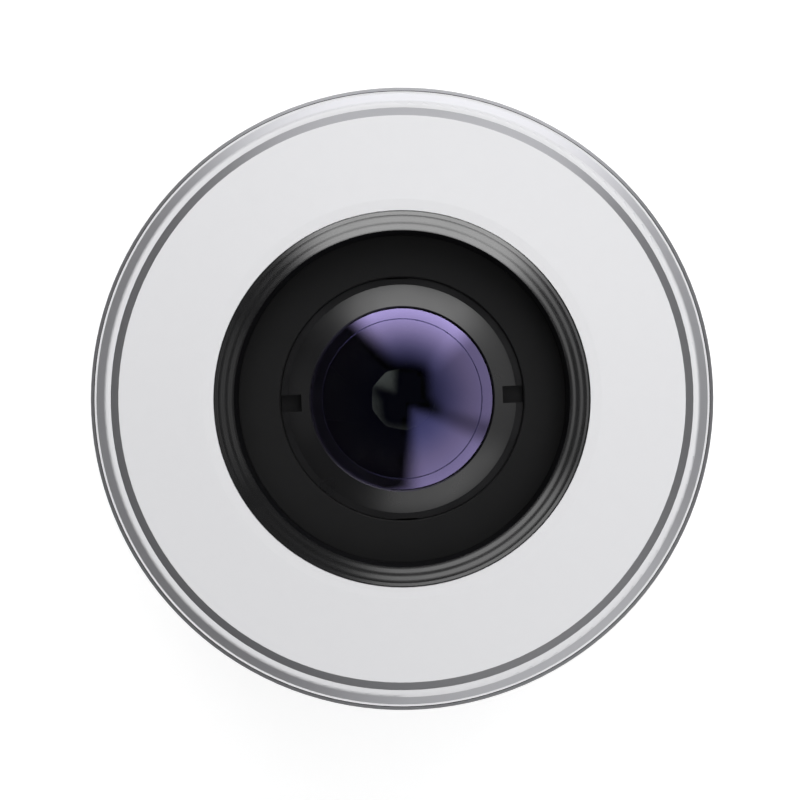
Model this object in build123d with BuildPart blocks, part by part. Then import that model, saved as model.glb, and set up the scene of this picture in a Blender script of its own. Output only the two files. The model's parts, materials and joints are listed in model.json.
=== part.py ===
from build123d import *

import os
from math import asin, atan2, cos, degrees, hypot, radians, sin, sqrt

# A compact manual macro lens: a helical focusing cam, a nine-blade iris and a bayonet mount.
# Millimetres. The optical axis is Z, the rear plane is z = 0 and the front faces +Z.

os.makedirs("parts", exist_ok=True)

# Fits and gaps
turn_fit = 0.08
seat_fit = 0.04
thread_fit = 0.05
ring_gap = 0.3
cut_past = 1.0
cement_gap = 0.02

# Movement
focus_turn = 240.0
focus_travel = 14.0
blade_ratio = 0.5
stops = [4.0, 5.6, 8.0, 11.0, 16.0]
rest_stop = 11.0

# Bayonet mount
bayonet_depth = 5.0
bayonet_bore = 20.0
bayonet_wall = 1.8
tab_reach = 1.2
tab_thickness = 1.6
tab_span = 50.0
tab_count = 3
flange_thickness = 1.6
flange_radius = 29.6
flange_edge_chamfer = 0.3
lock_slot_circle_radius = 25.6
lock_slot_width = 2.2
lock_slot_length = 3.6
lock_slot_depth = 1.1
mount_screw_count = 4
mount_screw_circle_radius = 25.4
mount_screw_start = 45.0

# Screws
fine_screw_radius = 0.8
fine_head_radius = 1.4
fine_head_height = 0.7
screw_bite = 1.4
screw_end_gap = 0.25
mount_shank_radius = 0.95
mount_head_radius = 1.85
mount_shank_length = 3.3
countersink_angle = 90.0
recess_width = 0.4
recess_depth = 0.35
grub_radius = 0.85
grub_inset = 0.35

# Rear light baffle
baffle_inset = 0.8
baffle_plate = 1.2
baffle_wall = 1.1
baffle_height = 5.0
window_width = 25.0
window_height = 18.0
window_corner = 2.0

# Nested tubes, from the axis outward
key_bore = 22.4
key_depth = 1.3
key_width = 2.0
key_gap = 0.6
carrier_wall = 1.4
guide_wall = 1.3
cam_wall = 1.3
rear_tube_wall = 1.0
skirt_gap = 0.4
skirt_wall = 1.0
focus_gap = 0.4
focus_wall = 1.76

carrier_bore = key_bore + key_depth + key_gap
carrier_radius = carrier_bore + carrier_wall
guide_bore = carrier_radius + turn_fit
guide_radius = guide_bore + guide_wall
cam_bore = guide_radius + turn_fit
cam_radius = cam_bore + cam_wall
skirt_bore = cam_radius + skirt_gap
skirt_radius = skirt_bore + skirt_wall
focus_bore = skirt_radius + focus_gap
focus_radius = focus_bore + focus_wall

# Rear barrel and the rings on it
rear_web = 2.4
rear_barrel_height = 7.1
rear_taper_height = 2.6
rear_taper_inset = 1.2
lower_ring_step = 0.5
aperture_ring_height = 7.7
index_ring_height = 5.0
dot_radius = 1.0
dot_depth = 1.0
rear_tube_bore = guide_radius + seat_fit
rear_tube_radius = rear_tube_bore + rear_tube_wall
lower_ring_radius = focus_radius - lower_ring_step
web_low = bayonet_depth + flange_thickness
web_high = web_low + rear_web
barrel_top = web_low + rear_barrel_height
aperture_low = barrel_top + ring_gap
aperture_high = aperture_low + aperture_ring_height
index_low = aperture_high + ring_gap
index_high = index_low + index_ring_height
focus_low = index_high + ring_gap

# Click stop between the rear barrel and the aperture ring
ball_radius = 0.8
ball_rise = 0.2
ball_inset = 1.75
ball_well_depth = 4.0
ball_circle_radius = rear_tube_radius + ball_inset
click_groove_width = 1.9
click_groove_depth = 0.5
click_notch_depth = 0.2
spring_radius = 0.55
spring_wire = 0.12
spring_turns = 4

# Focusing cam and its three rollers
roller_count = 3
roller_radius = 1.5
roller_bore = 0.8
roller_start = 5.0
roller_recess = 0.56
cam_land = 1.8
slot_clearance = 0.04
slot_end_relief = 0.1
retainer_height = 0.8
retainer_gap = 0.1
carrier_land = 2.5
carrier_flange_height = 1.6
carrier_flange_reach = 2.8
guide_foot_height = 1.4
guide_foot_reach = 4.6
guide_screw_circle_radius = 24.0
roller_z = focus_low + roller_start
slot_top = roller_z + focus_travel
cam_top = slot_top + roller_radius + cam_land
cam_retainer_low = cam_top + retainer_gap
guide_top = cam_retainer_low + retainer_height
carrier_low = roller_z - carrier_land

# Front barrel
front_clearance = 0.9
front_web = 2.0
front_web_bore = 13.66
skirt_rise = 2.06
skirt_low_gap = 0.5
web_bottom = guide_top + front_clearance
web_top = web_bottom + front_web
bezel_low = web_top + skirt_rise
focus_web = 2.0
bezel_gap = 0.25
carrier_screw_inset = 1.1
carrier_screw_count = 3
focus_high = bezel_low - bezel_gap
carrier_screw_circle_radius = carrier_bore - carrier_screw_inset

# Focus ring
scale_band_height = 6.0
scale_band_step = 0.35
grip_height = 14.4
flute_count = 60
flute_radius = 1.0
flute_depth = 0.55
front_lip_run = 0.34
front_lip_rise = 0.24
ring_chamfer = 0.3
felt_height = 1.4
felt_depth = 0.35
felt_drop = 0.9
felt_gap = 0.05
grub_height = 1.0

# Aperture ring
grip_band_height = 4.0
aperture_flute_count = 72
aperture_flute_radius = 0.75
aperture_flute_depth = 0.4

# Aperture key and drive ring
drive_ring_wall = 1.8
drive_ring_height = 6.0
drive_ring_inset = 0.5
drive_arm_angle = 200.0
prong_width = 2.2
prong_gap = 3.0
key_side_gap = 0.06
key_overlap = 4.0
link_screw_height = 4.2
link_shank_length = 5.8
link_window_margin = 0.25
link_head_radius = 1.3
drive_outer = guide_bore - turn_fit
drive_inner = drive_outer - drive_ring_wall
drive_low = aperture_low + drive_ring_inset
link_z = aperture_low + link_screw_height

# Front bezel, from its rim to the collar
bezel_inset = 0.46
bezel_lip_height = 0.33
bezel_lip_width = 0.2
bezel_chamfer_run = 1.0
bezel_chamfer_rise = 0.47
bezel_chamfer_fillet = 1.1
bezel_flat_width = 0.51
bezel_wall_run = 0.84
bezel_wall_rise = 0.59
bezel_wall_fillet = 0.45
bezel_cone_rise = 0.6
bezel_shelf_width = 1.15
bezel_skin = 1.6
bezel_spigot_wall = 0.6
bezel_spigot_drop = 0.7

# Front collar with the filter thread
collar_radius = 19.22
collar_rim_height = 5.2
collar_rib_start = 4.1
collar_flange_radius = 21.2
collar_flange_height = 1.1
collar_screw_circle_radius = 20.25
collar_screw_count = 3
collar_head_radius = 0.9
collar_head_height = 0.5
collar_screw_radius = 0.6
rib_run = [0.43, 0.70, 0.66]
rib_rise = [0.2, 0.33, 0.31]
rib_step_run = 0.09
rib_step_rise = 0.1
thread_radius = 16.73
thread_length = 1.5
thread_mouth = 0.37
relief_depth = 0.27
relief_slope = 0.2

# Front plate and retainer
cell_flange_height = 0.6
cell_flange_radius = 16.4
plate_thickness = 0.8
plate_bore_chamfer = 0.12
retainer_fit = 0.07
retainer_drop = 0.4
retainer_depth = 0.5
retainer_skirt_gap = 0.15
retainer_flat_width = 0.7
retainer_bore = 9.43
retainer_cone_rise = 0.95
retainer_lip = 0.12
retainer_slot_width = 1.75
retainer_slot_inner = 10.36
retainer_slot_depth = 1.0
retainer_slot_turn = 2.4
retainer_key_width = 2.2
retainer_key_depth = 0.15
plate_low = web_top + cell_flange_height
plate_high = plate_low + plate_thickness
retainer_radius = 12.47
retainer_low = web_top - retainer_depth

# Front cell and its glass
cell_depth = 8.8
cell_lip = 0.6
cell_lip_bore = 7.2
glass_fit = 0.04
glass_gap = 0.03
front_glass_radius = 9.9
front_glass_edge = 4.23
front_glass_rise = 1.43
front_curve = 28.0
front_rear_curve = 60.0
front_rear_bore = 7.64
doublet_radius = 9.0
flint_low_curve = 25.0
flint_low_bore = 6.6
flint_edge = 2.36
doublet_curve = 60.0
crown_edge = 0.7
crown_top_curve = 22.0
spacer_lip_width = 0.8
spacer_step = 1.0
spacer_bore = front_rear_bore
spacer_lip = doublet_radius - spacer_lip_width

# Iris
blade_count = 9
blade_bore = 6.6
blade_reach = 12.0
blade_span = 115.0
blade_pitch = 0.2
blade_thickness = 0.15
blade_pivot_circle_radius = 13.2
blade_pin_arm = 4.72
blade_pin_inset = 1.05
blade_tab_width = 2.0
blade_tab_shift = 0.3
pivot_radius = 0.5
drive_pin_radius = 0.4
pin_clearance = 0.1
pivot_fit = 0.05
housing_plate = 1.0
housing_bore = 7.0
housing_wall = 1.0
housing_room = 16.1
blade_room = 0.1
actuator_thickness = 1.1
actuator_bore = 11.6
actuator_gap = 0.2
iris_cover_height = 0.6
iris_cover_bore = 8.0
lever_width = 3.0
lever_root = 0.6
lever_margin = 5.0

# Rear cell and its glass
rear_cell_radius = 13.5
rear_cell_height = 12.8
rear_cell_lip = 0.6
rear_cell_lip_bore = 7.0
rear_doublet_radius = 8.6
rear_flint_bore = 6.5
rear_flint_top_curve = 11.0
rear_flint_edge = 3.4
rear_doublet_curve = 50.0
rear_crown_edge = 0.75
rear_crown_low_curve = 34.0
rear_spacer_lip_width = 0.8
rear_spacer_step = 1.3
rear_spacer_height = 2.75
rear_glass_reach = 0.9
rear_glass_top_curve = 20.0
rear_glass_low_curve = 60.0
rear_glass_edge = 1.6
rear_retainer_bore = 8.4
rear_retainer_height = 1.8
rear_retainer_slot = 1.2
rear_spacer_bore = rear_doublet_radius - rear_spacer_lip_width
rear_glass_radius = rear_doublet_radius + rear_glass_reach


def sag(curve, height):
    # Height of a spherical cap of radius curve over a circle of radius height.
    return curve - sqrt(curve**2 - height**2)


def turn_at(stop):
    # Turn of the aperture ring from fully open that leaves the opening of a stop.
    closed = blade_bore * (1 - stops[0] / stop)
    return 2 * degrees(asin(closed / (2 * blade_pivot_circle_radius))) / blade_ratio


aperture_turn = turn_at(stops[-1])
aperture_rest_turn = turn_at(rest_stop)


def radial_plane(angle, z, reach=0.0):
    # A plane facing outward at an angle, with its local x along the optical axis.
    side = Vector(cos(radians(angle)), sin(radians(angle)), 0)
    return Plane(origin=side * reach + Vector(0, 0, z), x_dir=(0, 0, 1), z_dir=side)


def axial_plane(angle):
    # The half plane through the axis at an angle: local x is the radius, local y is the height.
    turn = radians(angle)
    return Plane(origin=(0, 0, 0), x_dir=(cos(turn), sin(turn), 0), z_dir=(sin(turn), -cos(turn), 0))


def section(*points):
    # A turned piece's half section, from its (radius, height) corners.
    with BuildSketch(Plane.XZ) as half:
        with BuildLine():
            Polyline(*points, close=True)
        make_face()
    return half.sketch


def arc_window(inner, outer, low, high, start, span):
    # A cutter that opens a tube wall from the angle start over span degrees.
    with BuildPart() as cutter:
        with BuildSketch(axial_plane(start)):
            with Locations(((inner + outer) / 2, (low + high) / 2)):
                Rectangle(outer - inner, high - low)
        revolve(axis=Axis.Z, revolution_arc=span)
    return cutter.part


def cheese_screw(shank, length, head, head_height):
    # A screw along Z with its head's seat at z = 0 and a straight driver slot.
    with BuildPart() as screw:
        with BuildSketch(Plane.XY):
            Circle(head)
        extrude(amount=head_height)
        with BuildSketch(Plane.XY):
            Circle(shank)
        extrude(amount=-length)
        with BuildSketch(Plane.XY.offset(head_height)):
            Rectangle(recess_width, head * 2)
        extrude(amount=-recess_depth, mode=Mode.SUBTRACT)
    return screw.part


def grub_screw(radius, length):
    # A headless screw along Z, its slotted end at z = 0 and its body below.
    with BuildPart() as screw:
        with BuildSketch(Plane.XY):
            Circle(radius)
        extrude(amount=-length)
        with BuildSketch(Plane.XY):
            Rectangle(recess_width, radius * 2)
        extrude(amount=-recess_depth, mode=Mode.SUBTRACT)
    return screw.part


def save(part, name):
    part.label = name
    export_step(part, f"parts/{name}.step")


# Bayonet mount: flange, skirt, three locking tabs, countersunk holes and the lock pin's slot
mount_face = Plane(origin=(0, 0, bayonet_depth), x_dir=(1, 0, 0), z_dir=(0, 0, -1))
skirt_outer = bayonet_bore + bayonet_wall
with BuildPart() as bayonet_mount:
    with BuildSketch(Plane.XY.offset(bayonet_depth)):
        Circle(flange_radius)
        Circle(bayonet_bore, mode=Mode.SUBTRACT)
    extrude(amount=flange_thickness)
    with BuildSketch(Plane.XY):
        Circle(skirt_outer)
        Circle(bayonet_bore, mode=Mode.SUBTRACT)
    extrude(amount=bayonet_depth)
    for tab in range(tab_count):
        tab_start = tab * 360 / tab_count - tab_span / 2
        add(arc_window(bayonet_bore, skirt_outer + tab_reach, 0, tab_thickness, tab_start, tab_span))
    with Locations(mount_face):
        with PolarLocations(mount_screw_circle_radius, mount_screw_count, start_angle=mount_screw_start):
            CounterSinkHole(
                mount_shank_radius + seat_fit,
                mount_head_radius + seat_fit,
                depth=flange_thickness,
                counter_sink_angle=countersink_angle,
            )
    with BuildSketch(mount_face):
        with Locations((-lock_slot_circle_radius, 0)):
            SlotOverall(lock_slot_length, lock_slot_width)
    extrude(amount=-lock_slot_depth, mode=Mode.SUBTRACT)
    flange_rim = bayonet_mount.edges().filter_by(GeomType.CIRCLE).sort_by(SortBy.RADIUS)[-2:]
    chamfer(flange_rim.sort_by(Axis.Z)[0], length=flange_edge_chamfer)
save(bayonet_mount.part, "bayonet_mount")

# Four countersunk screws that hold the bayonet to the rear barrel
with BuildPart() as countersunk_screw:
    revolve(
        section(
            (0, 0),
            (mount_head_radius, 0),
            (mount_shank_radius, mount_shank_radius - mount_head_radius),
            (mount_shank_radius, -mount_shank_length),
            (0, -mount_shank_length),
        ),
        axis=Axis.Z,
    )
    with BuildSketch(Plane.XY):
        Rectangle(recess_width, mount_head_radius)
        Rectangle(mount_head_radius, recess_width)
    extrude(amount=-recess_depth, mode=Mode.SUBTRACT)
with BuildPart() as mount_screws:
    with Locations(mount_face):
        with PolarLocations(mount_screw_circle_radius, mount_screw_count, start_angle=mount_screw_start):
            add(countersunk_screw.part)
save(mount_screws.part, "mount_screws")

# Rear light baffle inside the bayonet, with its rectangular window
baffle_radius = bayonet_bore - seat_fit
with BuildPart() as rear_baffle:
    with BuildSketch(Plane.XY.offset(baffle_inset)):
        Circle(baffle_radius)
    extrude(amount=baffle_height)
    with BuildSketch(Plane.XY.offset(baffle_inset + baffle_plate)):
        Circle(baffle_radius - baffle_wall)
    extrude(amount=baffle_height, mode=Mode.SUBTRACT)
    with BuildSketch(Plane.XY):
        RectangleRounded(window_width, window_height, window_corner)
    extrude(amount=baffle_height, mode=Mode.SUBTRACT)
save(rear_baffle.part, "rear_baffle")

# Rear barrel: the fixed casing that the bayonet, rings and guide sleeve are screwed to
link_angles = [0.0, 180.0]
link_window_low = link_z - fine_screw_radius - link_window_margin
link_window_high = link_z + fine_screw_radius + link_window_margin
link_swing = degrees(asin((fine_screw_radius + link_window_margin) / guide_bore))
link_window_span = aperture_turn + 2 * link_swing
dot_z = web_low + (rear_barrel_height + rear_taper_height) / 2
index_screw_angles = [30.0, 150.0, 270.0]
index_screw_z = (index_low + index_high) / 2
with BuildPart() as rear_barrel:
    revolve(
        section(
            (bayonet_bore, web_low),
            (lower_ring_radius - rear_taper_inset, web_low),
            (lower_ring_radius, web_low + rear_taper_height),
            (lower_ring_radius, barrel_top),
            (rear_tube_radius, barrel_top),
            (rear_tube_radius, index_high),
            (rear_tube_bore, index_high),
            (rear_tube_bore, web_high),
            (bayonet_bore, web_high),
        ),
        axis=Axis.Z,
    )
    with Locations(Plane(origin=(0, 0, web_low), x_dir=(1, 0, 0), z_dir=(0, 0, -1))):
        with PolarLocations(mount_screw_circle_radius, mount_screw_count, start_angle=mount_screw_start):
            Hole(mount_shank_radius + seat_fit, depth=mount_shank_length - flange_thickness + seat_fit)
    with Locations(Plane.XY.offset(web_high)):
        with PolarLocations(guide_screw_circle_radius, roller_count):
            Hole(fine_screw_radius + seat_fit, depth=screw_bite + screw_end_gap)
    with Locations(Plane.XY.offset(barrel_top)):
        with Locations((ball_circle_radius, 0)):
            Hole(ball_radius + seat_fit, depth=ball_well_depth)
    for link_angle in link_angles:
        link_start = link_angle - aperture_rest_turn - link_swing
        add(
            arc_window(
                rear_tube_bore - cut_past,
                rear_tube_radius + cut_past,
                link_window_low,
                link_window_high,
                link_start,
                link_window_span,
            ),
            mode=Mode.SUBTRACT,
        )
    for screw_angle in index_screw_angles:
        with BuildSketch(radial_plane(screw_angle, index_screw_z)):
            Circle(grub_radius + seat_fit)
        extrude(amount=lower_ring_radius, mode=Mode.SUBTRACT)
    with BuildSketch(radial_plane(90, dot_z, lower_ring_radius - dot_depth)):
        Circle(dot_radius + seat_fit)
    extrude(amount=dot_depth * 2, mode=Mode.SUBTRACT)
save(rear_barrel.part, "rear_barrel")

# Red alignment dot, set in the rear barrel
with BuildPart() as index_dot:
    with BuildSketch(radial_plane(90, dot_z, lower_ring_radius - dot_depth)):
        Circle(dot_radius)
    extrude(amount=dot_depth - seat_fit)
save(index_dot.part, "index_dot")

# Guide sleeve: the fixed tube whose straight slots stop the front group turning
roller_angles = [angle * 360 / roller_count for angle in range(roller_count)]
with BuildPart() as guide_sleeve:
    revolve(
        section(
            (guide_bore - guide_foot_reach, web_high),
            (guide_radius, web_high),
            (guide_radius, guide_top),
            (guide_bore, guide_top),
            (guide_bore, web_high + guide_foot_height),
            (guide_bore - guide_foot_reach, web_high + guide_foot_height),
        ),
        axis=Axis.Z,
    )
    for roller_angle in roller_angles:
        with BuildSketch(radial_plane(roller_angle, roller_z + focus_travel / 2)):
            SlotCenterToCenter(focus_travel, 2 * (roller_radius + slot_clearance))
        extrude(amount=guide_radius + cut_past, mode=Mode.SUBTRACT)
    for link_angle in link_angles:
        link_start = link_angle - aperture_rest_turn - link_swing
        add(
            arc_window(
                guide_bore - cut_past,
                guide_radius + cut_past,
                link_window_low,
                link_window_high,
                link_start,
                link_window_span,
            ),
            mode=Mode.SUBTRACT,
        )
    with Locations(Plane.XY.offset(web_high + guide_foot_height)):
        with PolarLocations(guide_screw_circle_radius, roller_count):
            Hole(fine_screw_radius + seat_fit, depth=guide_foot_height)
save(guide_sleeve.part, "guide_sleeve")

# Three screws through the guide sleeve's foot
with BuildPart() as guide_screws:
    with Locations(Plane.XY.offset(web_high + guide_foot_height)):
        with PolarLocations(guide_screw_circle_radius, roller_count):
            add(
                cheese_screw(
                    fine_screw_radius,
                    guide_foot_height + screw_bite,
                    fine_head_radius,
                    fine_head_height,
                )
            )
save(guide_screws.part, "guide_screws")

# Threaded ring that keeps the cam sleeve down on the rear barrel
with BuildPart() as cam_retainer:
    with BuildSketch(Plane.XY.offset(cam_retainer_low)):
        Circle(cam_radius)
        Circle(guide_radius + seat_fit, mode=Mode.SUBTRACT)
    extrude(amount=retainer_height)
save(cam_retainer.part, "cam_retainer")

# Fixed index ring between the aperture ring and the focus ring
with BuildPart() as index_ring:
    with BuildSketch(Plane.XY.offset(index_low)):
        Circle(lower_ring_radius)
        Circle(rear_tube_radius + seat_fit, mode=Mode.SUBTRACT)
    extrude(amount=index_ring_height)
    for screw_angle in index_screw_angles:
        with BuildSketch(radial_plane(screw_angle, index_screw_z)):
            Circle(grub_radius + seat_fit)
        extrude(amount=focus_radius, mode=Mode.SUBTRACT)
    index_rims = index_ring.edges().filter_by(GeomType.CIRCLE).sort_by(SortBy.RADIUS)[-2:]
    chamfer(index_rims, length=ring_chamfer)
save(index_ring.part, "index_ring")

# Grub screws that fix the index ring to the rear barrel's tube
with BuildPart() as index_ring_screws:
    for screw_angle in index_screw_angles:
        with Locations(radial_plane(screw_angle, index_screw_z, lower_ring_radius - grub_inset)):
            add(grub_screw(grub_radius, lower_ring_radius - grub_inset - rear_tube_bore - seat_fit))
save(index_ring_screws.part, "index_ring_screws")

# Click stop: a steel ball on a small coil spring, under the aperture ring
ball_z = aperture_low + ball_rise - ball_radius
with BuildPart() as click_ball:
    with Locations((ball_circle_radius, 0, ball_z)):
        Sphere(ball_radius)
save(click_ball.part, "click_ball")

spring_low = barrel_top - ball_well_depth + spring_wire
spring_high = ball_z - ball_radius - spring_wire
spring_pitch = (spring_high - spring_low) / spring_turns
with BuildPart() as click_spring:
    with BuildLine(Plane(origin=(ball_circle_radius, 0, spring_low))) as coil:
        Helix(spring_pitch, spring_high - spring_low, spring_radius)
    with BuildSketch(Plane(origin=coil.line @ 0, z_dir=coil.line % 0)):
        Circle(spring_wire)
    sweep(is_frenet=True)
print("click spring least gap to itself", round(spring_pitch - 2 * spring_wire, 2))
save(click_spring.part, "click_spring")

# Focus ring: scale band, fluted grip and a smooth bevelled front lip
scale_band_radius = focus_radius - scale_band_step
grip_low = focus_low + scale_band_height
focus_screw_z = focus_low + grub_height
focus_screw_angles = [60.0, 180.0, 300.0]
focus_web_bore = cam_radius + seat_fit
felt_high = focus_high - felt_drop
felt_low = felt_high - felt_height
with BuildPart() as focus_ring:
    revolve(
        section(
            (focus_web_bore, focus_low),
            (scale_band_radius - ring_chamfer, focus_low),
            (scale_band_radius, focus_low + ring_chamfer),
            (scale_band_radius, grip_low - scale_band_step),
            (focus_radius, grip_low),
            (focus_radius, focus_high - front_lip_rise),
            (focus_radius - front_lip_run, focus_high),
            (focus_bore, focus_high),
            (focus_bore, felt_high),
            (focus_bore + felt_depth, felt_high),
            (focus_bore + felt_depth, felt_low),
            (focus_bore, felt_low),
            (focus_bore, focus_low + focus_web),
            (focus_web_bore, focus_low + focus_web),
        ),
        axis=Axis.Z,
    )
    with BuildSketch(Plane.XY.offset(grip_low + ring_chamfer)):
        with PolarLocations(focus_radius + flute_radius - flute_depth, flute_count):
            Circle(flute_radius)
    extrude(amount=grip_height - 2 * ring_chamfer, mode=Mode.SUBTRACT)
    for screw_angle in focus_screw_angles:
        with BuildSketch(radial_plane(screw_angle, focus_screw_z)):
            Circle(grub_radius + seat_fit)
        extrude(amount=focus_radius, mode=Mode.SUBTRACT)
save(focus_ring.part, "focus_ring")

# Felt dust seal in the focus ring's bore
with BuildPart() as focus_ring_felt:
    with BuildSketch(Plane.XY.offset(felt_low)):
        Circle(focus_bore + felt_depth)
        Circle(skirt_radius + felt_gap, mode=Mode.SUBTRACT)
    extrude(amount=felt_height)
save(focus_ring_felt.part, "focus_ring_felt")

# Cam sleeve: turns with the focus ring and carries the three helical slots
cam_pitch = focus_travel * 360 / focus_turn
cam_middle = (cam_bore + cam_radius) / 2
with BuildPart() as cam_cutter:
    with BuildLine(Plane.XY.offset(roller_z)) as cam_path:
        Helix(cam_pitch, focus_travel, cam_middle, lefthand=True)
    with BuildSketch(Plane(origin=cam_path.line @ 0, x_dir=(1, 0, 0), z_dir=cam_path.line % 0)):
        Rectangle(2 * cam_wall, 2 * (roller_radius + slot_clearance))
    sweep(is_frenet=True)
with BuildPart() as cam_sleeve:
    with BuildSketch(Plane.XY.offset(focus_low)):
        Circle(cam_radius)
        Circle(cam_bore, mode=Mode.SUBTRACT)
    extrude(amount=cam_top - focus_low)
    for roller_angle in roller_angles:
        for end_angle, end_z in ((roller_angle, roller_z), (roller_angle - focus_turn, slot_top)):
            with BuildSketch(radial_plane(end_angle, end_z, cam_middle - cam_wall)):
                Circle(roller_radius + slot_clearance + slot_end_relief)
            extrude(amount=2 * cam_wall, mode=Mode.SUBTRACT)
    for screw_angle in focus_screw_angles:
        with BuildSketch(radial_plane(screw_angle, focus_screw_z)):
            Circle(grub_radius + seat_fit)
        extrude(amount=focus_radius, mode=Mode.SUBTRACT)
    add([cam_cutter.part.rotate(Axis.Z, angle) for angle in roller_angles], mode=Mode.SUBTRACT)
save(cam_sleeve.part, "cam_sleeve")

# Grub screws that lock the focus ring to the cam sleeve
with BuildPart() as focus_ring_screws:
    for screw_angle in focus_screw_angles:
        with Locations(radial_plane(screw_angle, focus_screw_z, scale_band_radius - grub_inset)):
            add(grub_screw(grub_radius, scale_band_radius - grub_inset - cam_bore - seat_fit))
save(focus_ring_screws.part, "focus_ring_screws")

# Aperture ring: fluted grip band below a plain band for the numbers
with BuildPart() as aperture_ring:
    with BuildSketch(Plane.XY.offset(aperture_low)):
        Circle(lower_ring_radius)
        Circle(rear_tube_radius + turn_fit, mode=Mode.SUBTRACT)
    extrude(amount=aperture_ring_height)
    aperture_rims = aperture_ring.edges().filter_by(GeomType.CIRCLE).sort_by(SortBy.RADIUS)[-2:]
    chamfer(aperture_rims, length=ring_chamfer)
    with BuildSketch(Plane.XY.offset(aperture_low + 2 * ring_chamfer)):
        with PolarLocations(
            lower_ring_radius + aperture_flute_radius - aperture_flute_depth, aperture_flute_count
        ):
            Circle(aperture_flute_radius)
    extrude(amount=grip_band_height - 2 * ring_chamfer, mode=Mode.SUBTRACT)
    with BuildSketch(Plane.XY.offset(aperture_low)):
        Circle(ball_circle_radius + click_groove_width / 2)
        Circle(ball_circle_radius - click_groove_width / 2, mode=Mode.SUBTRACT)
    extrude(amount=click_groove_depth, mode=Mode.SUBTRACT)
    for stop in stops:
        notch_turn = radians(aperture_rest_turn - turn_at(stop))
        with BuildSketch(Plane.XY.offset(aperture_low + click_groove_depth)):
            with Locations((ball_circle_radius * cos(notch_turn), ball_circle_radius * sin(notch_turn))):
                Circle(ball_radius)
        extrude(amount=click_notch_depth, mode=Mode.SUBTRACT)
    for link_angle in link_angles:
        with BuildSketch(radial_plane(link_angle, link_z)):
            Circle(fine_screw_radius + seat_fit)
        extrude(amount=focus_radius, mode=Mode.SUBTRACT)
        with BuildSketch(radial_plane(link_angle, link_z, drive_inner + link_shank_length)):
            Circle(link_head_radius + seat_fit)
        extrude(amount=focus_radius, mode=Mode.SUBTRACT)
save(aperture_ring.part, "aperture_ring")

# Aperture drive ring inside the guide sleeve, with two prongs that turn the iris key
key_plane = Plane.XY.offset(drive_low).rotated((0, 0, drive_arm_angle))
housing_top = web_top - cell_depth
stack_top = housing_top - housing_plate - blade_room
stack_low = stack_top - blade_count * blade_pitch
actuator_top = stack_low - actuator_gap
actuator_low = actuator_top - actuator_thickness
prong_top = actuator_low - prong_gap
key_low = prong_top - focus_travel - key_overlap
prong_outer = key_bore + key_depth
with BuildPart() as aperture_drive_ring:
    with BuildSketch(Plane.XY.offset(drive_low)):
        Circle(drive_outer)
        Circle(drive_inner, mode=Mode.SUBTRACT)
    extrude(amount=drive_ring_height)
    for side in (-1, 1):
        prong_middle = side * (key_width / 2 + key_side_gap + prong_width / 2)
        with BuildSketch(key_plane):
            with Locations(((key_bore + drive_inner) / 2, prong_middle)):
                Rectangle(drive_inner - key_bore + drive_ring_wall, prong_width)
        extrude(amount=drive_ring_height)
        with BuildSketch(key_plane):
            with Locations(((key_bore + prong_outer) / 2, prong_middle)):
                Rectangle(key_depth, prong_width)
        extrude(amount=prong_top - drive_low)
    with BuildSketch(Plane.XY.offset(drive_low)):
        Circle(drive_outer + drive_ring_wall)
        Circle(drive_outer, mode=Mode.SUBTRACT)
    extrude(amount=drive_ring_height, mode=Mode.SUBTRACT)
    for link_angle in link_angles:
        with BuildSketch(radial_plane(link_angle, link_z)):
            Circle(fine_screw_radius + seat_fit)
        extrude(amount=focus_radius, mode=Mode.SUBTRACT)
save(aperture_drive_ring.part, "aperture_drive_ring")

# Two screws that link the aperture ring to the drive ring through the arc windows
with BuildPart() as aperture_link_screws:
    for link_angle in link_angles:
        with Locations(radial_plane(link_angle, link_z, drive_inner + link_shank_length)):
            add(cheese_screw(fine_screw_radius, link_shank_length, link_head_radius, fine_head_height))
save(aperture_link_screws.part, "aperture_link_screws")

# Front barrel: the moving casing, a web that carries the cell and a skirt inside the focus ring
skirt_low = focus_low + focus_web + skirt_low_gap
with BuildPart() as front_barrel:
    revolve(
        section(
            (front_web_bore, web_bottom),
            (skirt_bore, web_bottom),
            (skirt_bore, skirt_low),
            (skirt_radius, skirt_low),
            (skirt_radius, bezel_low),
            (skirt_bore, bezel_low),
            (skirt_bore, web_top),
            (front_web_bore, web_top),
        ),
        axis=Axis.Z,
    )
    with Locations(Plane.XY.offset(web_top)):
        with PolarLocations(carrier_screw_circle_radius, carrier_screw_count, start_angle=60):
            Hole(fine_screw_radius + seat_fit, depth=front_web)
        with PolarLocations(collar_screw_circle_radius, collar_screw_count):
            Hole(collar_screw_radius + seat_fit, depth=screw_bite + screw_end_gap)
save(front_barrel.part, "front_barrel")

# Inner carrier: slides in the guide sleeve and holds the three rollers
with BuildPart() as inner_carrier:
    revolve(
        section(
            (carrier_bore, carrier_low),
            (carrier_radius, carrier_low),
            (carrier_radius, web_bottom),
            (carrier_bore - carrier_flange_reach, web_bottom),
            (carrier_bore - carrier_flange_reach, web_bottom - carrier_flange_height),
            (carrier_bore, web_bottom - carrier_flange_height),
        ),
        axis=Axis.Z,
    )
    for roller_angle in roller_angles:
        with BuildSketch(radial_plane(roller_angle, roller_z)):
            Circle(fine_screw_radius - seat_fit)
        extrude(amount=carrier_radius, mode=Mode.SUBTRACT)
    with Locations(Plane.XY.offset(web_bottom)):
        with PolarLocations(carrier_screw_circle_radius, carrier_screw_count, start_angle=60):
            Hole(fine_screw_radius + seat_fit, depth=carrier_flange_height)
save(inner_carrier.part, "inner_carrier")

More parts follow.
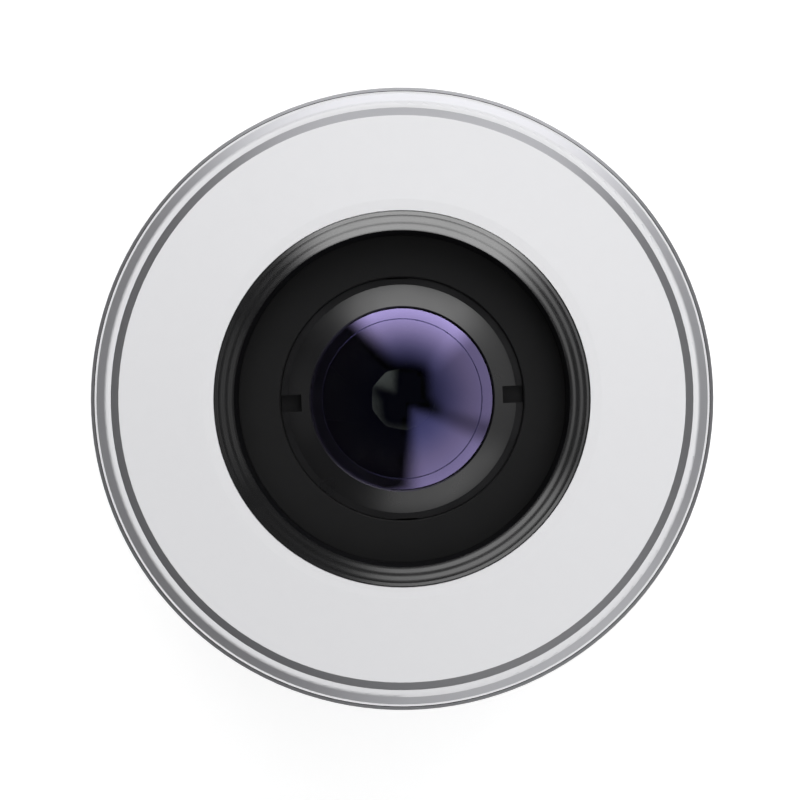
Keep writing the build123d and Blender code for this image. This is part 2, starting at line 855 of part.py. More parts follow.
# Three screws from the front through the web into the carrier's flange
with BuildPart() as carrier_screws:
    with Locations(Plane.XY.offset(web_top)):
        with PolarLocations(carrier_screw_circle_radius, carrier_screw_count, start_angle=60):
            add(
                cheese_screw(
                    fine_screw_radius,
                    front_web + screw_bite,
                    fine_head_radius,
                    fine_head_height,
                )
            )
save(carrier_screws.part, "carrier_screws")

# Cam rollers on the carrier, each a brass sleeve with a counterbored outer end
roller_inner = carrier_radius + seat_fit
with BuildPart() as guide_rollers:
    for roller_angle in roller_angles:
        with BuildSketch(radial_plane(roller_angle, roller_z, roller_inner)):
            Circle(roller_radius)
            Circle(roller_bore, mode=Mode.SUBTRACT)
        extrude(amount=cam_radius - roller_recess - roller_inner)
save(guide_rollers.part, "guide_rollers")

# Screws that the rollers turn on
roller_shank = fine_screw_radius - 2 * seat_fit
with BuildPart() as roller_screws:
    for roller_angle in roller_angles:
        with Locations(radial_plane(roller_angle, roller_z, cam_radius - roller_recess + seat_fit)):
            add(
                cheese_screw(
                    roller_shank,
                    cam_radius - roller_recess + seat_fit - carrier_bore,
                    roller_radius - 3 * seat_fit,
                    roller_recess - 2 * seat_fit,
                )
            )
save(roller_screws.part, "roller_screws")

# Front bezel: the silver rim and shallow cone around the black collar
rim_radius = focus_radius - bezel_inset
lip_high = bezel_low + bezel_lip_height
chamfer_outer = rim_radius - bezel_lip_width
flat_outer = chamfer_outer - bezel_chamfer_run
flat_z = lip_high + bezel_chamfer_rise
wall_outer = flat_outer - bezel_flat_width
wall_inner = wall_outer - bezel_wall_run
cone_low = flat_z + bezel_wall_rise
cone_high = cone_low + bezel_cone_rise
bezel_bore = collar_radius + seat_fit
shelf_outer = bezel_bore + bezel_shelf_width
skin_low = cone_low - bezel_skin
spigot_outer = skirt_bore - seat_fit
spigot_inner = spigot_outer - bezel_spigot_wall
with BuildPart() as front_bezel:
    with BuildSketch(Plane.XZ) as bezel_half:
        with BuildLine():
            Polyline(
                (rim_radius, bezel_low),
                (rim_radius, lip_high),
                (chamfer_outer, lip_high),
                (flat_outer, flat_z),
                (wall_outer, flat_z),
                (wall_inner, cone_low),
                (shelf_outer, cone_high),
                (bezel_bore, cone_high),
                (bezel_bore, skin_low),
                (spigot_inner, skin_low),
                (spigot_inner, bezel_low - bezel_spigot_drop),
                (spigot_outer, bezel_low - bezel_spigot_drop),
                (spigot_outer, bezel_low),
                close=True,
            )
        make_face()
        corners = bezel_half.vertices()
        fillet(corners.sort_by_distance((flat_outer, flat_z))[0], radius=bezel_chamfer_fillet)
        fillet(corners.sort_by_distance((wall_inner, cone_low))[0], radius=bezel_wall_fillet)
    revolve(axis=Axis.Z)
save(front_bezel.part, "front_bezel")

# Front collar: black ribbed nose with the filter thread inside
collar_top = web_top + collar_rim_height
rib_points = [(collar_radius, web_top + collar_rib_start)]
for run, rise in zip(rib_run, rib_rise):
    rib_points.append((rib_points[-1][0] - run, rib_points[-1][1] + rise))
    rib_points.append((rib_points[-1][0] - rib_step_run, rib_points[-1][1] + rib_step_rise))
rib_points[-1] = (rib_points[-1][0], collar_top)
mouth_radius = thread_radius + thread_mouth
thread_top = collar_top - thread_mouth
relief_radius = thread_radius + relief_depth
with BuildPart() as front_collar:
    revolve(
        section(
            (relief_radius, web_top),
            (collar_flange_radius, web_top),
            (collar_flange_radius, web_top + collar_flange_height),
            (collar_radius, web_top + collar_flange_height),
            *rib_points,
            (mouth_radius, collar_top),
            (thread_radius, thread_top),
            (thread_radius, thread_top - thread_length),
            (relief_radius, thread_top - thread_length - relief_slope),
        ),
        axis=Axis.Z,
    )
    with Locations(Plane.XY.offset(web_top + collar_flange_height)):
        with PolarLocations(collar_screw_circle_radius, collar_screw_count):
            Hole(collar_screw_radius + seat_fit, depth=collar_flange_height)
save(front_collar.part, "front_collar")

# Three small screws under the bezel that hold the collar
with BuildPart() as collar_screws:
    with Locations(Plane.XY.offset(web_top + collar_flange_height)):
        with PolarLocations(collar_screw_circle_radius, collar_screw_count):
            add(
                cheese_screw(
                    collar_screw_radius,
                    collar_flange_height + screw_bite,
                    collar_head_radius,
                    collar_head_height,
                )
            )
save(collar_screws.part, "collar_screws")

# Front plate: the flat black ring at the bottom of the recess
plate_bore = retainer_radius + retainer_fit
with BuildPart() as front_plate:
    with BuildSketch(Plane.XY.offset(plate_low)):
        Circle(relief_radius - 2 * seat_fit)
        Circle(plate_bore, mode=Mode.SUBTRACT)
    extrude(amount=plate_thickness)
    plate_edges = front_plate.edges().filter_by(GeomType.CIRCLE).group_by(Axis.Z)[-1]
    chamfer(plate_edges, length=plate_bore_chamfer)
save(front_plate.part, "front_plate")

# Front cell: the stepped tube that holds the front glass
cell_bore = front_glass_radius + glass_fit
doublet_bore = doublet_radius + glass_fit
front_glass_high = web_top + front_glass_rise
front_glass_low = front_glass_high - front_glass_edge
spacer_ledge = front_glass_low - spacer_step
cell_low = housing_top
cell_radius = front_web_bore - seat_fit
doublet_low = cell_low + cell_lip
with BuildPart() as front_cell:
    revolve(
        section(
            (cell_lip_bore, cell_low),
            (cell_lip_bore, doublet_low),
            (doublet_bore, doublet_low),
            (doublet_bore, spacer_ledge),
            (cell_bore, spacer_ledge),
            (cell_bore, retainer_low),
            (retainer_radius + thread_fit, retainer_low),
            (retainer_radius + thread_fit, plate_low),
            (cell_flange_radius, plate_low),
            (cell_flange_radius, web_top),
            (cell_radius, web_top),
            (cell_radius, cell_low),
        ),
        axis=Axis.Z,
    )
save(front_cell.part, "front_cell")

# Front element: the strongly curved, coated front glass
front_apex = front_glass_high + sag(front_curve, front_glass_radius)
with BuildPart() as front_element:
    with BuildSketch(Plane.XZ):
        with BuildLine():
            Line((0, front_glass_low + sag(front_rear_curve, front_rear_bore)), (0, front_apex))
            RadiusArc((0, front_apex), (front_glass_radius, front_glass_high), front_curve)
            Line((front_glass_radius, front_glass_high), (front_glass_radius, front_glass_low))
            Line((front_glass_radius, front_glass_low), (front_rear_bore, front_glass_low))
            RadiusArc(
                (front_rear_bore, front_glass_low),
                (0, front_glass_low + sag(front_rear_curve, front_rear_bore)),
                -front_rear_curve,
            )
        make_face()
    revolve(axis=Axis.Z)
save(front_element.part, "front_element")

# Front retainer: the black conical ring with two spanner slots
flange_top = plate_high - retainer_drop
cone_base = retainer_radius - retainer_flat_width
cone_top = flange_top + retainer_cone_rise
glass_at_bore = front_apex - sag(front_curve, retainer_bore)
skirt_inner = front_glass_radius + retainer_skirt_gap
with BuildPart() as front_retainer:
    revolve(
        section(
            (retainer_bore, glass_at_bore + retainer_lip),
            (skirt_inner, front_glass_high + glass_gap),
            (skirt_inner, retainer_low),
            (retainer_radius, retainer_low),
            (retainer_radius, flange_top),
            (cone_base, flange_top),
            (retainer_bore + retainer_lip, cone_top),
            (retainer_bore, cone_top - retainer_lip),
        ),
        axis=Axis.Z,
    )
    slot_length = retainer_radius - retainer_slot_inner
    slot_middle = retainer_slot_inner + slot_length
    slot_plane = Plane.XY.offset(flange_top - retainer_slot_depth)
    with BuildSketch(slot_plane):
        with PolarLocations(slot_middle, 2, start_angle=retainer_slot_turn):
            Rectangle(2 * slot_length, retainer_slot_width)
    extrude(amount=retainer_slot_depth + retainer_cone_rise, mode=Mode.SUBTRACT)
    with BuildSketch(slot_plane):
        with PolarLocations(retainer_radius + slot_length / 2, 2, start_angle=retainer_slot_turn + 90):
            Rectangle(slot_length + 2 * retainer_key_depth, retainer_key_width)
    extrude(amount=retainer_slot_depth, mode=Mode.SUBTRACT)
save(front_retainer.part, "front_retainer")

# Doublet behind the front element: a crown cemented to a flint
flint_high = doublet_low + flint_edge
crown_low = flint_high + cement_gap
crown_high = crown_low + crown_edge
crown_apex = crown_high + sag(crown_top_curve, doublet_radius)
with BuildPart() as front_flint:
    with BuildSketch(Plane.XZ):
        with BuildLine():
            Line(
                (0, doublet_low + sag(flint_low_curve, flint_low_bore)),
                (0, flint_high - sag(doublet_curve, doublet_radius)),
            )
            RadiusArc(
                (0, flint_high - sag(doublet_curve, doublet_radius)),
                (doublet_radius, flint_high),
                -doublet_curve,
            )
            Line((doublet_radius, flint_high), (doublet_radius, doublet_low))
            Line((doublet_radius, doublet_low), (flint_low_bore, doublet_low))
            RadiusArc(
                (flint_low_bore, doublet_low),
                (0, doublet_low + sag(flint_low_curve, flint_low_bore)),
                -flint_low_curve,
            )
        make_face()
    revolve(axis=Axis.Z)
save(front_flint.part, "front_flint")

with BuildPart() as front_crown:
    with BuildSketch(Plane.XZ):
        with BuildLine():
            Line((0, crown_low - sag(doublet_curve, doublet_radius)), (0, crown_apex))
            RadiusArc((0, crown_apex), (doublet_radius, crown_high), crown_top_curve)
            Line((doublet_radius, crown_high), (doublet_radius, crown_low))
            RadiusArc(
                (doublet_radius, crown_low),
                (0, crown_low - sag(doublet_curve, doublet_radius)),
                doublet_curve,
            )
        make_face()
    revolve(axis=Axis.Z)
save(front_crown.part, "front_crown")

# Spacer between the doublet and the front element
spacer_low = crown_apex - sag(crown_top_curve, spacer_lip) + glass_gap
with BuildPart() as front_spacer:
    revolve(
        section(
            (spacer_lip, spacer_low),
            (doublet_radius, spacer_low),
            (doublet_radius, spacer_ledge),
            (front_glass_radius, spacer_ledge),
            (front_glass_radius, front_glass_low - cement_gap),
            (spacer_bore, front_glass_low - cement_gap),
            (spacer_bore, spacer_ledge),
        ),
        axis=Axis.Z,
    )
save(front_spacer.part, "front_spacer")

# Iris housing: the plate that the blades pivot on, with a wall around them
housing_low = actuator_low - actuator_gap - iris_cover_height
housing_radius = housing_room + housing_wall
pivot_angles = [blade * 360 / blade_count for blade in range(blade_count)]
lever_window_low = actuator_low - actuator_gap
lever_swing = degrees(lever_width / 2 / housing_room) + lever_margin
with BuildPart() as iris_housing:
    revolve(
        section(
            (housing_bore, housing_top),
            (housing_radius, housing_top),
            (housing_radius, housing_low),
            (housing_room, housing_low),
            (housing_room, housing_top - housing_plate),
            (housing_bore, housing_top - housing_plate),
        ),
        axis=Axis.Z,
    )
    with Locations(Plane.XY.offset(housing_top)):
        with PolarLocations(blade_pivot_circle_radius, blade_count):
            Hole(pivot_radius + pivot_fit, depth=housing_plate)
    add(
        arc_window(
            housing_room - cut_past,
            housing_radius + cut_past,
            lever_window_low,
            actuator_top + actuator_gap,
            drive_arm_angle - aperture_rest_turn - lever_swing,
            aperture_turn + 2 * lever_swing,
        ),
        mode=Mode.SUBTRACT,
    )
save(iris_housing.part, "iris_housing")

# Iris cover: closes the housing behind the actuator
with BuildPart() as iris_cover:
    with BuildSketch(Plane.XY.offset(housing_low)):
        Circle(housing_room - seat_fit)
        Circle(iris_cover_bore, mode=Mode.SUBTRACT)
    extrude(amount=iris_cover_height)
save(iris_cover.part, "iris_cover")


def pin_in_actuator(closing):
    # The drive pin of the first blade, seen from the actuator, at a blade angle from fully open.
    turn = radians(closing)
    x = blade_pivot_circle_radius - blade_pin_inset * cos(turn) + blade_pin_arm * sin(turn)
    y = -blade_pin_inset * sin(turn) - blade_pin_arm * cos(turn)
    angle = atan2(y, x) - radians(closing / blade_ratio)
    return hypot(x, y) * cos(angle), hypot(x, y) * sin(angle)


# Iris actuator: a ring with nine cam slots and the long key that the drive ring turns
full_closing = aperture_turn * blade_ratio
rest_closing = aperture_rest_turn * blade_ratio
pin_slot_half = drive_pin_radius + pin_clearance
with BuildPart() as iris_actuator:
    with BuildSketch(Plane.XY.offset(actuator_low)):
        Circle(housing_room - pin_clearance)
        Circle(actuator_bore, mode=Mode.SUBTRACT)
    extrude(amount=actuator_thickness)
    for pivot_angle in pivot_angles:
        with BuildSketch(Plane.XY.offset(actuator_low).rotated((0, 0, pivot_angle + aperture_rest_turn))):
            with BuildLine() as pin_path:
                ThreePointArc(
                    pin_in_actuator(0), pin_in_actuator(full_closing / 2), pin_in_actuator(full_closing)
                )
            SlotArc(pin_path.edge(), 2 * pin_slot_half)
        extrude(amount=actuator_thickness, mode=Mode.SUBTRACT)
    key_middle = key_bore + key_depth / 2
    lever_inner = housing_room - lever_root
    lever_outer = key_bore + key_depth
    with BuildSketch(Plane.XY.offset(actuator_low).rotated((0, 0, drive_arm_angle))):
        with Locations(((lever_inner + lever_outer) / 2, 0)):
            Rectangle(lever_outer - lever_inner, lever_width)
    extrude(amount=actuator_thickness)
    with BuildSketch(Plane.XY.offset(key_low).rotated((0, 0, drive_arm_angle))):
        with Locations((key_middle, 0)):
            Rectangle(key_depth, key_width)
    extrude(amount=actuator_top - key_low)
save(iris_actuator.part, "iris_actuator")

# Nine iris blades, one above another, each turned to the rest opening
tab_anchor = (blade_bore + blade_reach) / 2
for blade, pivot_angle in enumerate(pivot_angles):
    blade_low = stack_top - (blade + 1) * blade_pitch
    pivot_turn = radians(pivot_angle)
    pivot_at = (blade_pivot_circle_radius * cos(pivot_turn), blade_pivot_circle_radius * sin(pivot_turn))
    blade_plane = Plane(
        origin=(pivot_at[0], pivot_at[1], blade_low),
        x_dir=(cos(radians(pivot_angle + rest_closing)), sin(radians(pivot_angle + rest_closing)), 0),
        z_dir=(0, 0, 1),
    )
    with BuildPart() as iris_blade:
        with BuildSketch(blade_plane):
            with BuildLine():
                middle = (-blade_pivot_circle_radius, 0)
                outer_edge = CenterArc(middle, blade_reach, 0, blade_span)
                inner_edge = CenterArc(middle, blade_bore, 0, blade_span)
                Line(outer_edge @ 0, inner_edge @ 0)
                Line(outer_edge @ 1, inner_edge @ 1)
            make_face()
            with Locations((-blade_pin_inset / 2, -blade_pin_arm / 2)):
                SlotCenterToCenter(
                    hypot(blade_pin_inset, blade_pin_arm),
                    blade_tab_width,
                    rotation=degrees(atan2(blade_pin_arm, blade_pin_inset)),
                )
            with Locations(((tab_anchor - blade_pivot_circle_radius) / 2, blade_tab_shift)):
                SlotCenterToCenter(blade_pivot_circle_radius - tab_anchor, blade_tab_width)
        extrude(amount=blade_thickness)
        with BuildSketch(blade_plane):
            Circle(pivot_radius)
        extrude(amount=housing_top - pin_clearance - blade_low)
        with BuildSketch(blade_plane):
            with Locations((-blade_pin_inset, -blade_pin_arm)):
                Circle(drive_pin_radius)
        extrude(amount=actuator_low + pin_clearance - blade_low)
    save(iris_blade.part, f"iris_blade_{blade + 1}")

# Rear cell: the stepped tube behind the iris
rear_cell_low = housing_low - rear_cell_height
rear_doublet_high = housing_low - rear_cell_lip
rear_doublet_bore = rear_doublet_radius + glass_fit
rear_glass_bore = rear_glass_radius + glass_fit
rear_flint_low = rear_doublet_high - rear_flint_edge
rear_crown_high = rear_flint_low - cement_gap
rear_crown_low = rear_crown_high - rear_crown_edge
rear_crown_apex = rear_crown_low - sag(rear_crown_low_curve, rear_doublet_radius)
rear_spacer_high = rear_crown_apex + sag(rear_crown_low_curve, rear_spacer_bore) - glass_gap
rear_ledge = rear_spacer_high - rear_spacer_step
rear_spacer_low = rear_spacer_high - rear_spacer_height
rear_glass_apex = rear_spacer_low + sag(rear_glass_top_curve, rear_spacer_bore) - glass_gap
rear_glass_high = rear_glass_apex - sag(rear_glass_top_curve, rear_glass_radius)
rear_glass_low = rear_glass_high - rear_glass_edge
with BuildPart() as rear_cell:
    revolve(
        section(
            (rear_cell_lip_bore, housing_low),
            (rear_cell_radius, housing_low),
            (rear_cell_radius, rear_cell_low),
            (rear_glass_bore, rear_cell_low),
            (rear_glass_bore, rear_ledge),
            (rear_doublet_bore, rear_ledge),
            (rear_doublet_bore, rear_doublet_high),
            (rear_cell_lip_bore, rear_doublet_high),
        ),
        axis=Axis.Z,
    )
save(rear_cell.part, "rear_cell")

# Rear doublet: flint towards the iris, crown behind it
interface_high = rear_flint_low + sag(rear_doublet_curve, rear_doublet_radius)
with BuildPart() as rear_flint:
    with BuildSketch(Plane.XZ):
        with BuildLine():
            flint_top = rear_doublet_high - sag(rear_flint_top_curve, rear_flint_bore)
            Line((0, interface_high), (0, flint_top))
            RadiusArc((0, flint_top), (rear_flint_bore, rear_doublet_high), -rear_flint_top_curve)
            Line((rear_flint_bore, rear_doublet_high), (rear_doublet_radius, rear_doublet_high))
            Line((rear_doublet_radius, rear_doublet_high), (rear_doublet_radius, rear_flint_low))
            RadiusArc((rear_doublet_radius, rear_flint_low), (0, interface_high), -rear_doublet_curve)
        make_face()
    revolve(axis=Axis.Z)
save(rear_flint.part, "rear_flint")

with BuildPart() as rear_crown:
    with BuildSketch(Plane.XZ):
        with BuildLine():
            crown_top = rear_crown_high + sag(rear_doublet_curve, rear_doublet_radius)
            Line((0, rear_crown_apex), (0, crown_top))
            RadiusArc((0, crown_top), (rear_doublet_radius, rear_crown_high), rear_doublet_curve)
            Line((rear_doublet_radius, rear_crown_high), (rear_doublet_radius, rear_crown_low))
            RadiusArc((rear_doublet_radius, rear_crown_low), (0, rear_crown_apex), rear_crown_low_curve)
        make_face()
    revolve(axis=Axis.Z)
save(rear_crown.part, "rear_crown")

# Spacer between the rear doublet and the rear element
with BuildPart() as rear_spacer:
    revolve(
        section(
            (rear_spacer_bore, rear_spacer_high),
            (rear_doublet_radius, rear_spacer_high),
            (rear_doublet_radius, rear_ledge),
            (rear_glass_radius, rear_ledge),
            (rear_glass_radius, rear_spacer_low),
            (rear_spacer_bore, rear_spacer_low),
        ),
        axis=Axis.Z,
    )
save(rear_spacer.part, "rear_spacer")

# Rear element
with BuildPart() as rear_element:
    with BuildSketch(Plane.XZ):
        with BuildLine():
            rear_apex_low = rear_glass_low - sag(rear_glass_low_curve, rear_glass_radius)
            Line((0, rear_apex_low), (0, rear_glass_apex))
            RadiusArc((0, rear_glass_apex), (rear_glass_radius, rear_glass_high), rear_glass_top_curve)
            Line((rear_glass_radius, rear_glass_high), (rear_glass_radius, rear_glass_low))
            RadiusArc((rear_glass_radius, rear_glass_low), (0, rear_apex_low), rear_glass_low_curve)
        make_face()
    revolve(axis=Axis.Z)
save(rear_element.part, "rear_element")

# Rear retainer with two spanner slots
rear_retainer_high = rear_apex_low + sag(rear_glass_low_curve, rear_retainer_bore) - glass_gap
with BuildPart() as rear_retainer:
    with BuildSketch(Plane.XY.offset(rear_retainer_high)):
        Circle(rear_glass_radius)
        Circle(rear_retainer_bore, mode=Mode.SUBTRACT)
    extrude(amount=-rear_retainer_height)
    with BuildSketch(Plane.XY.offset(rear_retainer_high - rear_retainer_height)):
        Rectangle(3 * rear_glass_radius, rear_retainer_slot)
    extrude(amount=rear_retainer_height / 2, mode=Mode.SUBTRACT)
save(rear_retainer.part, "rear_retainer")

print("overall radius", round(focus_radius, 3), "length", round(collar_top, 3))
print("rollers at", round(roller_z, 3), "glass apex", round(front_apex, 3), "thread low",
      round(thread_top - thread_length, 3))
print("key from", round(key_low, 3), "prongs to", round(prong_top, 3), "iris", round(housing_low, 3))
print("rear cell from", round(rear_cell_low, 3), "rear retainer", round(rear_retainer_high, 3))
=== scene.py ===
import json
from math import cos, pi, radians, sin, tau

import bmesh
import bpy
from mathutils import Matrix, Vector


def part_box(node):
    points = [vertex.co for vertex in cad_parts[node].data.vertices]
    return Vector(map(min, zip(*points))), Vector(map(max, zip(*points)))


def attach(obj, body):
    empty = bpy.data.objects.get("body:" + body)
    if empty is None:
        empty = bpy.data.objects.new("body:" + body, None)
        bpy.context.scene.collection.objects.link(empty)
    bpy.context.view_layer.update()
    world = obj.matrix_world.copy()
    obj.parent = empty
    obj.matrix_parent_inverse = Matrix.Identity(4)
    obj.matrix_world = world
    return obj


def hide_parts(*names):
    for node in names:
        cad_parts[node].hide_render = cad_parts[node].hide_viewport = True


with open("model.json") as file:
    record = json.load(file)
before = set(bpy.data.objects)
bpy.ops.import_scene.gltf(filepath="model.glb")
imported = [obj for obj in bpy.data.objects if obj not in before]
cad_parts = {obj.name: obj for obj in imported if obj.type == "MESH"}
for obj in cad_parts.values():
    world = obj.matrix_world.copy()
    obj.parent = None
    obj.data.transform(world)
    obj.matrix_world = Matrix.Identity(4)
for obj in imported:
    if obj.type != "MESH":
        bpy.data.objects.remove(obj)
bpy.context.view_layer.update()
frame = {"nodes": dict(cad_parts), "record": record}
scene = bpy.context.scene


# a hex colour as the linear numbers that the shaders take
def linear(code):
    parts = [int(code[i : i + 2], 16) / 255 for i in (1, 3, 5)]
    return [p / 12.92 if p <= 0.04045 else ((p + 0.055) / 1.055) ** 2.4 for p in parts] + [1.0]


def addNode(tree, kind, settings={}, links={}):
    made = tree.nodes.new(kind)
    for name, value in settings.items():
        if isinstance(name, str) and hasattr(made, name):
            setattr(made, name, value)
        else:
            made.inputs[name].default_value = value
    for name, source in links.items():
        tree.links.new(source, made.inputs[name])
    return made


# the patterns below are sized in millimetres, and only a bump's depth is in metres
def newMaterial(name):
    material = bpy.data.materials.new(name)
    material.use_nodes = True
    tree = material.node_tree
    shader = tree.nodes["Principled BSDF"]
    place = addNode(tree, "ShaderNodeTexCoord")
    mm = addNode(
        tree,
        "ShaderNodeVectorMath",
        {"operation": "SCALE", "Scale": 1000.0},
        {0: place.outputs["Object"]},
    )
    return material, tree, shader, mm.outputs[0]


def axisDistance(tree, mm):
    flat = addNode(tree, "ShaderNodeVectorMath", {"operation": "MULTIPLY", 1: (1, 1, 0)}, {0: mm})
    radius = addNode(tree, "ShaderNodeVectorMath", {"operation": "LENGTH"}, {0: flat.outputs[0]})
    return radius.outputs["Value"]


heightShare = 0.83  # below 1, so that 45 degree bevels get rings too
noiseLow, noiseHigh = 0.3, 0.7  # nearly all of a noise lies between these


# rings that the lathe left, the same all round, on faces and walls alike
def latheRings(tree, mm, look, under=None):
    split = addNode(tree, "ShaderNodeSeparateXYZ", {}, {0: mm})
    across = addNode(
        tree,
        "ShaderNodeMath",
        {"operation": "MULTIPLY_ADD", 1: heightShare},
        {0: split.outputs["Z"], 2: axisDistance(tree, mm)},
    )
    rings = addNode(
        tree,
        "ShaderNodeTexNoise",
        {"noise_dimensions": "1D", "Scale": 1 / look["latheStep"], "Detail": look["latheDetail"]},
        {"W": across.outputs[0]},
    )
    links = {"Height": rings.outputs[0]}
    if under is not None:
        links["Normal"] = under
    bump = addNode(tree, "ShaderNodeBump", {"Strength": 1.0, "Distance": look["latheDepth"]}, links)
    return bump.outputs[0]


# Metals

blasted = {
    "colour": "#E9E9EB",
    "handled": "#E8E8EA",
    "patchSize": 1.6,
    "roughness": (0.70, 0.72),
    "metallic": 0.5,  # the clear film over the dimples scatters about half of the light
    "beadSize": 0.16,  # real dimples are about 0.05, too fine to show
    "beadDepth": 0.0000016,
    "latheStep": 0.35,  # real feed marks are about 0.1, too fine to show
    "latheDetail": 2.0,
    "latheDepth": 0.0000010,
    "cut": "#BCBCC0",
    "cutRoughness": 0.38,
    "cutMetallic": 0.78,
    "cutFlat": (0.93, 0.99),  # a normal's upward share, from a bevel to a flat face
    "cutWall": (0.35, 0.6),  # and from a side wall to a bevel
    "cutSteep": (0.84, 0.89),  # a bevel steeper than this is bare metal
    "gap": "#0E0E10",  # painted shade in the slit between the focus ring and the bezel
    "gapRadius": 31.62,
    "gapReach": 0.064,
}


# silver casing: aluminium turned, blasted with fine beads and anodised clear, so an even pale
# sheen without reflections, then its bevels cut bright
def blastedAluminium():
    look = blasted
    material, tree, shader, mm = newMaterial("blastedAluminium")
    patches = addNode(
        tree,
        "ShaderNodeTexNoise",
        {"Scale": 1 / look["patchSize"], "Detail": 3.0},
        {"Vector": mm},
    )
    tone = addNode(
        tree,
        "ShaderNodeMix",
        {"data_type": "RGBA", 6: linear(look["colour"]), 7: linear(look["handled"])},
        {0: patches.outputs[0]},
    )
    facing = addNode(tree, "ShaderNodeNewGeometry")
    facing = addNode(tree, "ShaderNodeSeparateXYZ", {}, {0: facing.outputs["Normal"]})
    leaning = addNode(
        tree,
        "ShaderNodeMapRange",
        {
            "interpolation_type": "SMOOTHSTEP",
            "From Min": look["cutFlat"][0],
            "From Max": look["cutFlat"][1],
            "To Min": 1.0,
            "To Max": 0.0,
        },
        {"Value": facing.outputs["Z"]},
    )
    upward = addNode(
        tree,
        "ShaderNodeMapRange",
        {
            "interpolation_type": "SMOOTHSTEP",
            "From Min": look["cutWall"][0],
            "From Max": look["cutWall"][1],
        },
        {"Value": facing.outputs["Z"]},
    )
    cut = addNode(
        tree,
        "ShaderNodeMath",
        {"operation": "MULTIPLY"},
        {0: leaning.outputs[0], 1: upward.outputs[0]},
    )
    rough = addNode(
        tree,
        "ShaderNodeMapRange",
        {
            "From Min": noiseLow,
            "From Max": noiseHigh,
            "To Min": look["roughness"][0],
            "To Max": look["roughness"][1],
        },
        {"Value": patches.outputs[0]},
    )
    rough = addNode(
        tree,
        "ShaderNodeMix",
        {"data_type": "FLOAT", 3: look["cutRoughness"]},
        {0: cut.outputs[0], 2: rough.outputs[0]},
    )
    tree.links.new(rough.outputs[0], shader.inputs["Roughness"])
    tone = addNode(
        tree,
        "ShaderNodeMix",
        {"data_type": "RGBA", 7: linear(look["cut"])},
        {0: cut.outputs[0], 6: tone.outputs[2]},
    )
    # painted shade: upward faces in the slit before the bezel get a near black base colour
    gap = addNode(
        tree,
        "ShaderNodeMath",
        {"operation": "COMPARE", 1: look["gapRadius"], 2: look["gapReach"]},
        {0: axisDistance(tree, mm)},
    )
    gap = addNode(
        tree,
        "ShaderNodeMath",
        {"operation": "MULTIPLY"},
        {0: gap.outputs[0], 1: upward.outputs[0]},
    )
    tone = addNode(
        tree,
        "ShaderNodeMix",
        {"data_type": "RGBA", 7: linear(look["gap"])},
        {0: gap.outputs[0], 6: tone.outputs[2]},
    )
    tree.links.new(tone.outputs[2], shader.inputs["Base Color"])
    metal = addNode(
        tree,
        "ShaderNodeMapRange",
        {
            "From Min": look["cutSteep"][0],
            "From Max": look["cutSteep"][1],
            "To Min": 1.0,
            "To Max": look["cutMetallic"],
        },
        {"Value": facing.outputs["Z"]},
    )
    metal = addNode(
        tree,
        "ShaderNodeMix",
        {"data_type": "FLOAT", 2: look["metallic"]},
        {0: cut.outputs[0], 3: metal.outputs[0]},
    )
    tree.links.new(metal.outputs[0], shader.inputs["Metallic"])
    beads = addNode(
        tree,
        "ShaderNodeTexNoise",
        {"Scale": 1 / look["beadSize"], "Detail": 2.0},
        {"Vector": mm},
    )
    pits = addNode(
        tree,
        "ShaderNodeBump",
        {"Strength": 1.0, "Distance": look["beadDepth"]},
        {"Height": beads.outputs[0]},
    )
    tree.links.new(latheRings(tree, mm, look, pits.outputs[0]), shader.inputs["Normal"])
    return material


turned = {
    "silver": ("#C8C8CC", 0.32),
    "raw": ("#C9C9CC", 0.32),
    "brass": ("#D9B36A", 0.30),
    "steel": ("#B4B4B8", 0.30),
    "chrome": ("#CFD0D4", 0.16),
    "dullSize": 3.333,
    "dullShade": 0.95,
    "shadeSpan": (0.35, 0.75),  # part of the noise over which a spot gets darker
    "dullRoughness": 0.05,
    "roughSpan": (0.3, 0.75),  # and over which it gets rougher
    "latheStep": 0.22,  # real feed marks are about 0.05, too fine to show
    "latheDetail": 3.0,
    "latheDepth": 0.0000022,
    "anisotropy": 0.6,
}


# bare or plated metal straight from the lathe: bright, with fine rings round the axis that
# draw its highlights out, and a few dull spots
def turnedMetal(kind):
    look = turned
    colour, roughness = look[kind]
    material, tree, shader, mm = newMaterial(kind + "Turned")
    dull = addNode(
        tree,
        "ShaderNodeTexNoise",
        {"Scale": 1 / look["dullSize"], "Detail": 4.0},
        {"Vector": mm},
    )
    shade = addNode(
        tree,
        "ShaderNodeMapRange",
        {
            "From Min": look["shadeSpan"][0],
            "From Max": look["shadeSpan"][1],
            "To Min": 1.0,
            "To Max": look["dullShade"],
        },
        {"Value": dull.outputs[0]},
    )
    tone = addNode(
        tree,
        "ShaderNodeMix",
        {"data_type": "RGBA", "blend_type": "MULTIPLY", 0: 1.0, 6: linear(colour)},
        {7: shade.outputs[0]},
    )
    tree.links.new(tone.outputs[2], shader.inputs["Base Color"])
    rough = addNode(
        tree,
        "ShaderNodeMapRange",
        {
            "From Min": look["roughSpan"][0],
            "From Max": look["roughSpan"][1],
            "To Min": roughness,
            "To Max": roughness + look["dullRoughness"],
        },
        {"Value": dull.outputs[0]},
    )
    tree.links.new(rough.outputs[0], shader.inputs["Roughness"])
    tree.links.new(latheRings(tree, mm, look), shader.inputs["Normal"])
    shader.inputs["Metallic"].default_value = 1.0
    shader.inputs["Anisotropic"].default_value = look["anisotropy"]
    around = addNode(tree, "ShaderNodeTangent", {"direction_type": "RADIAL", "axis": "Z"})
    tree.links.new(around.outputs[0], shader.inputs["Tangent"])
    return material


# Blacks

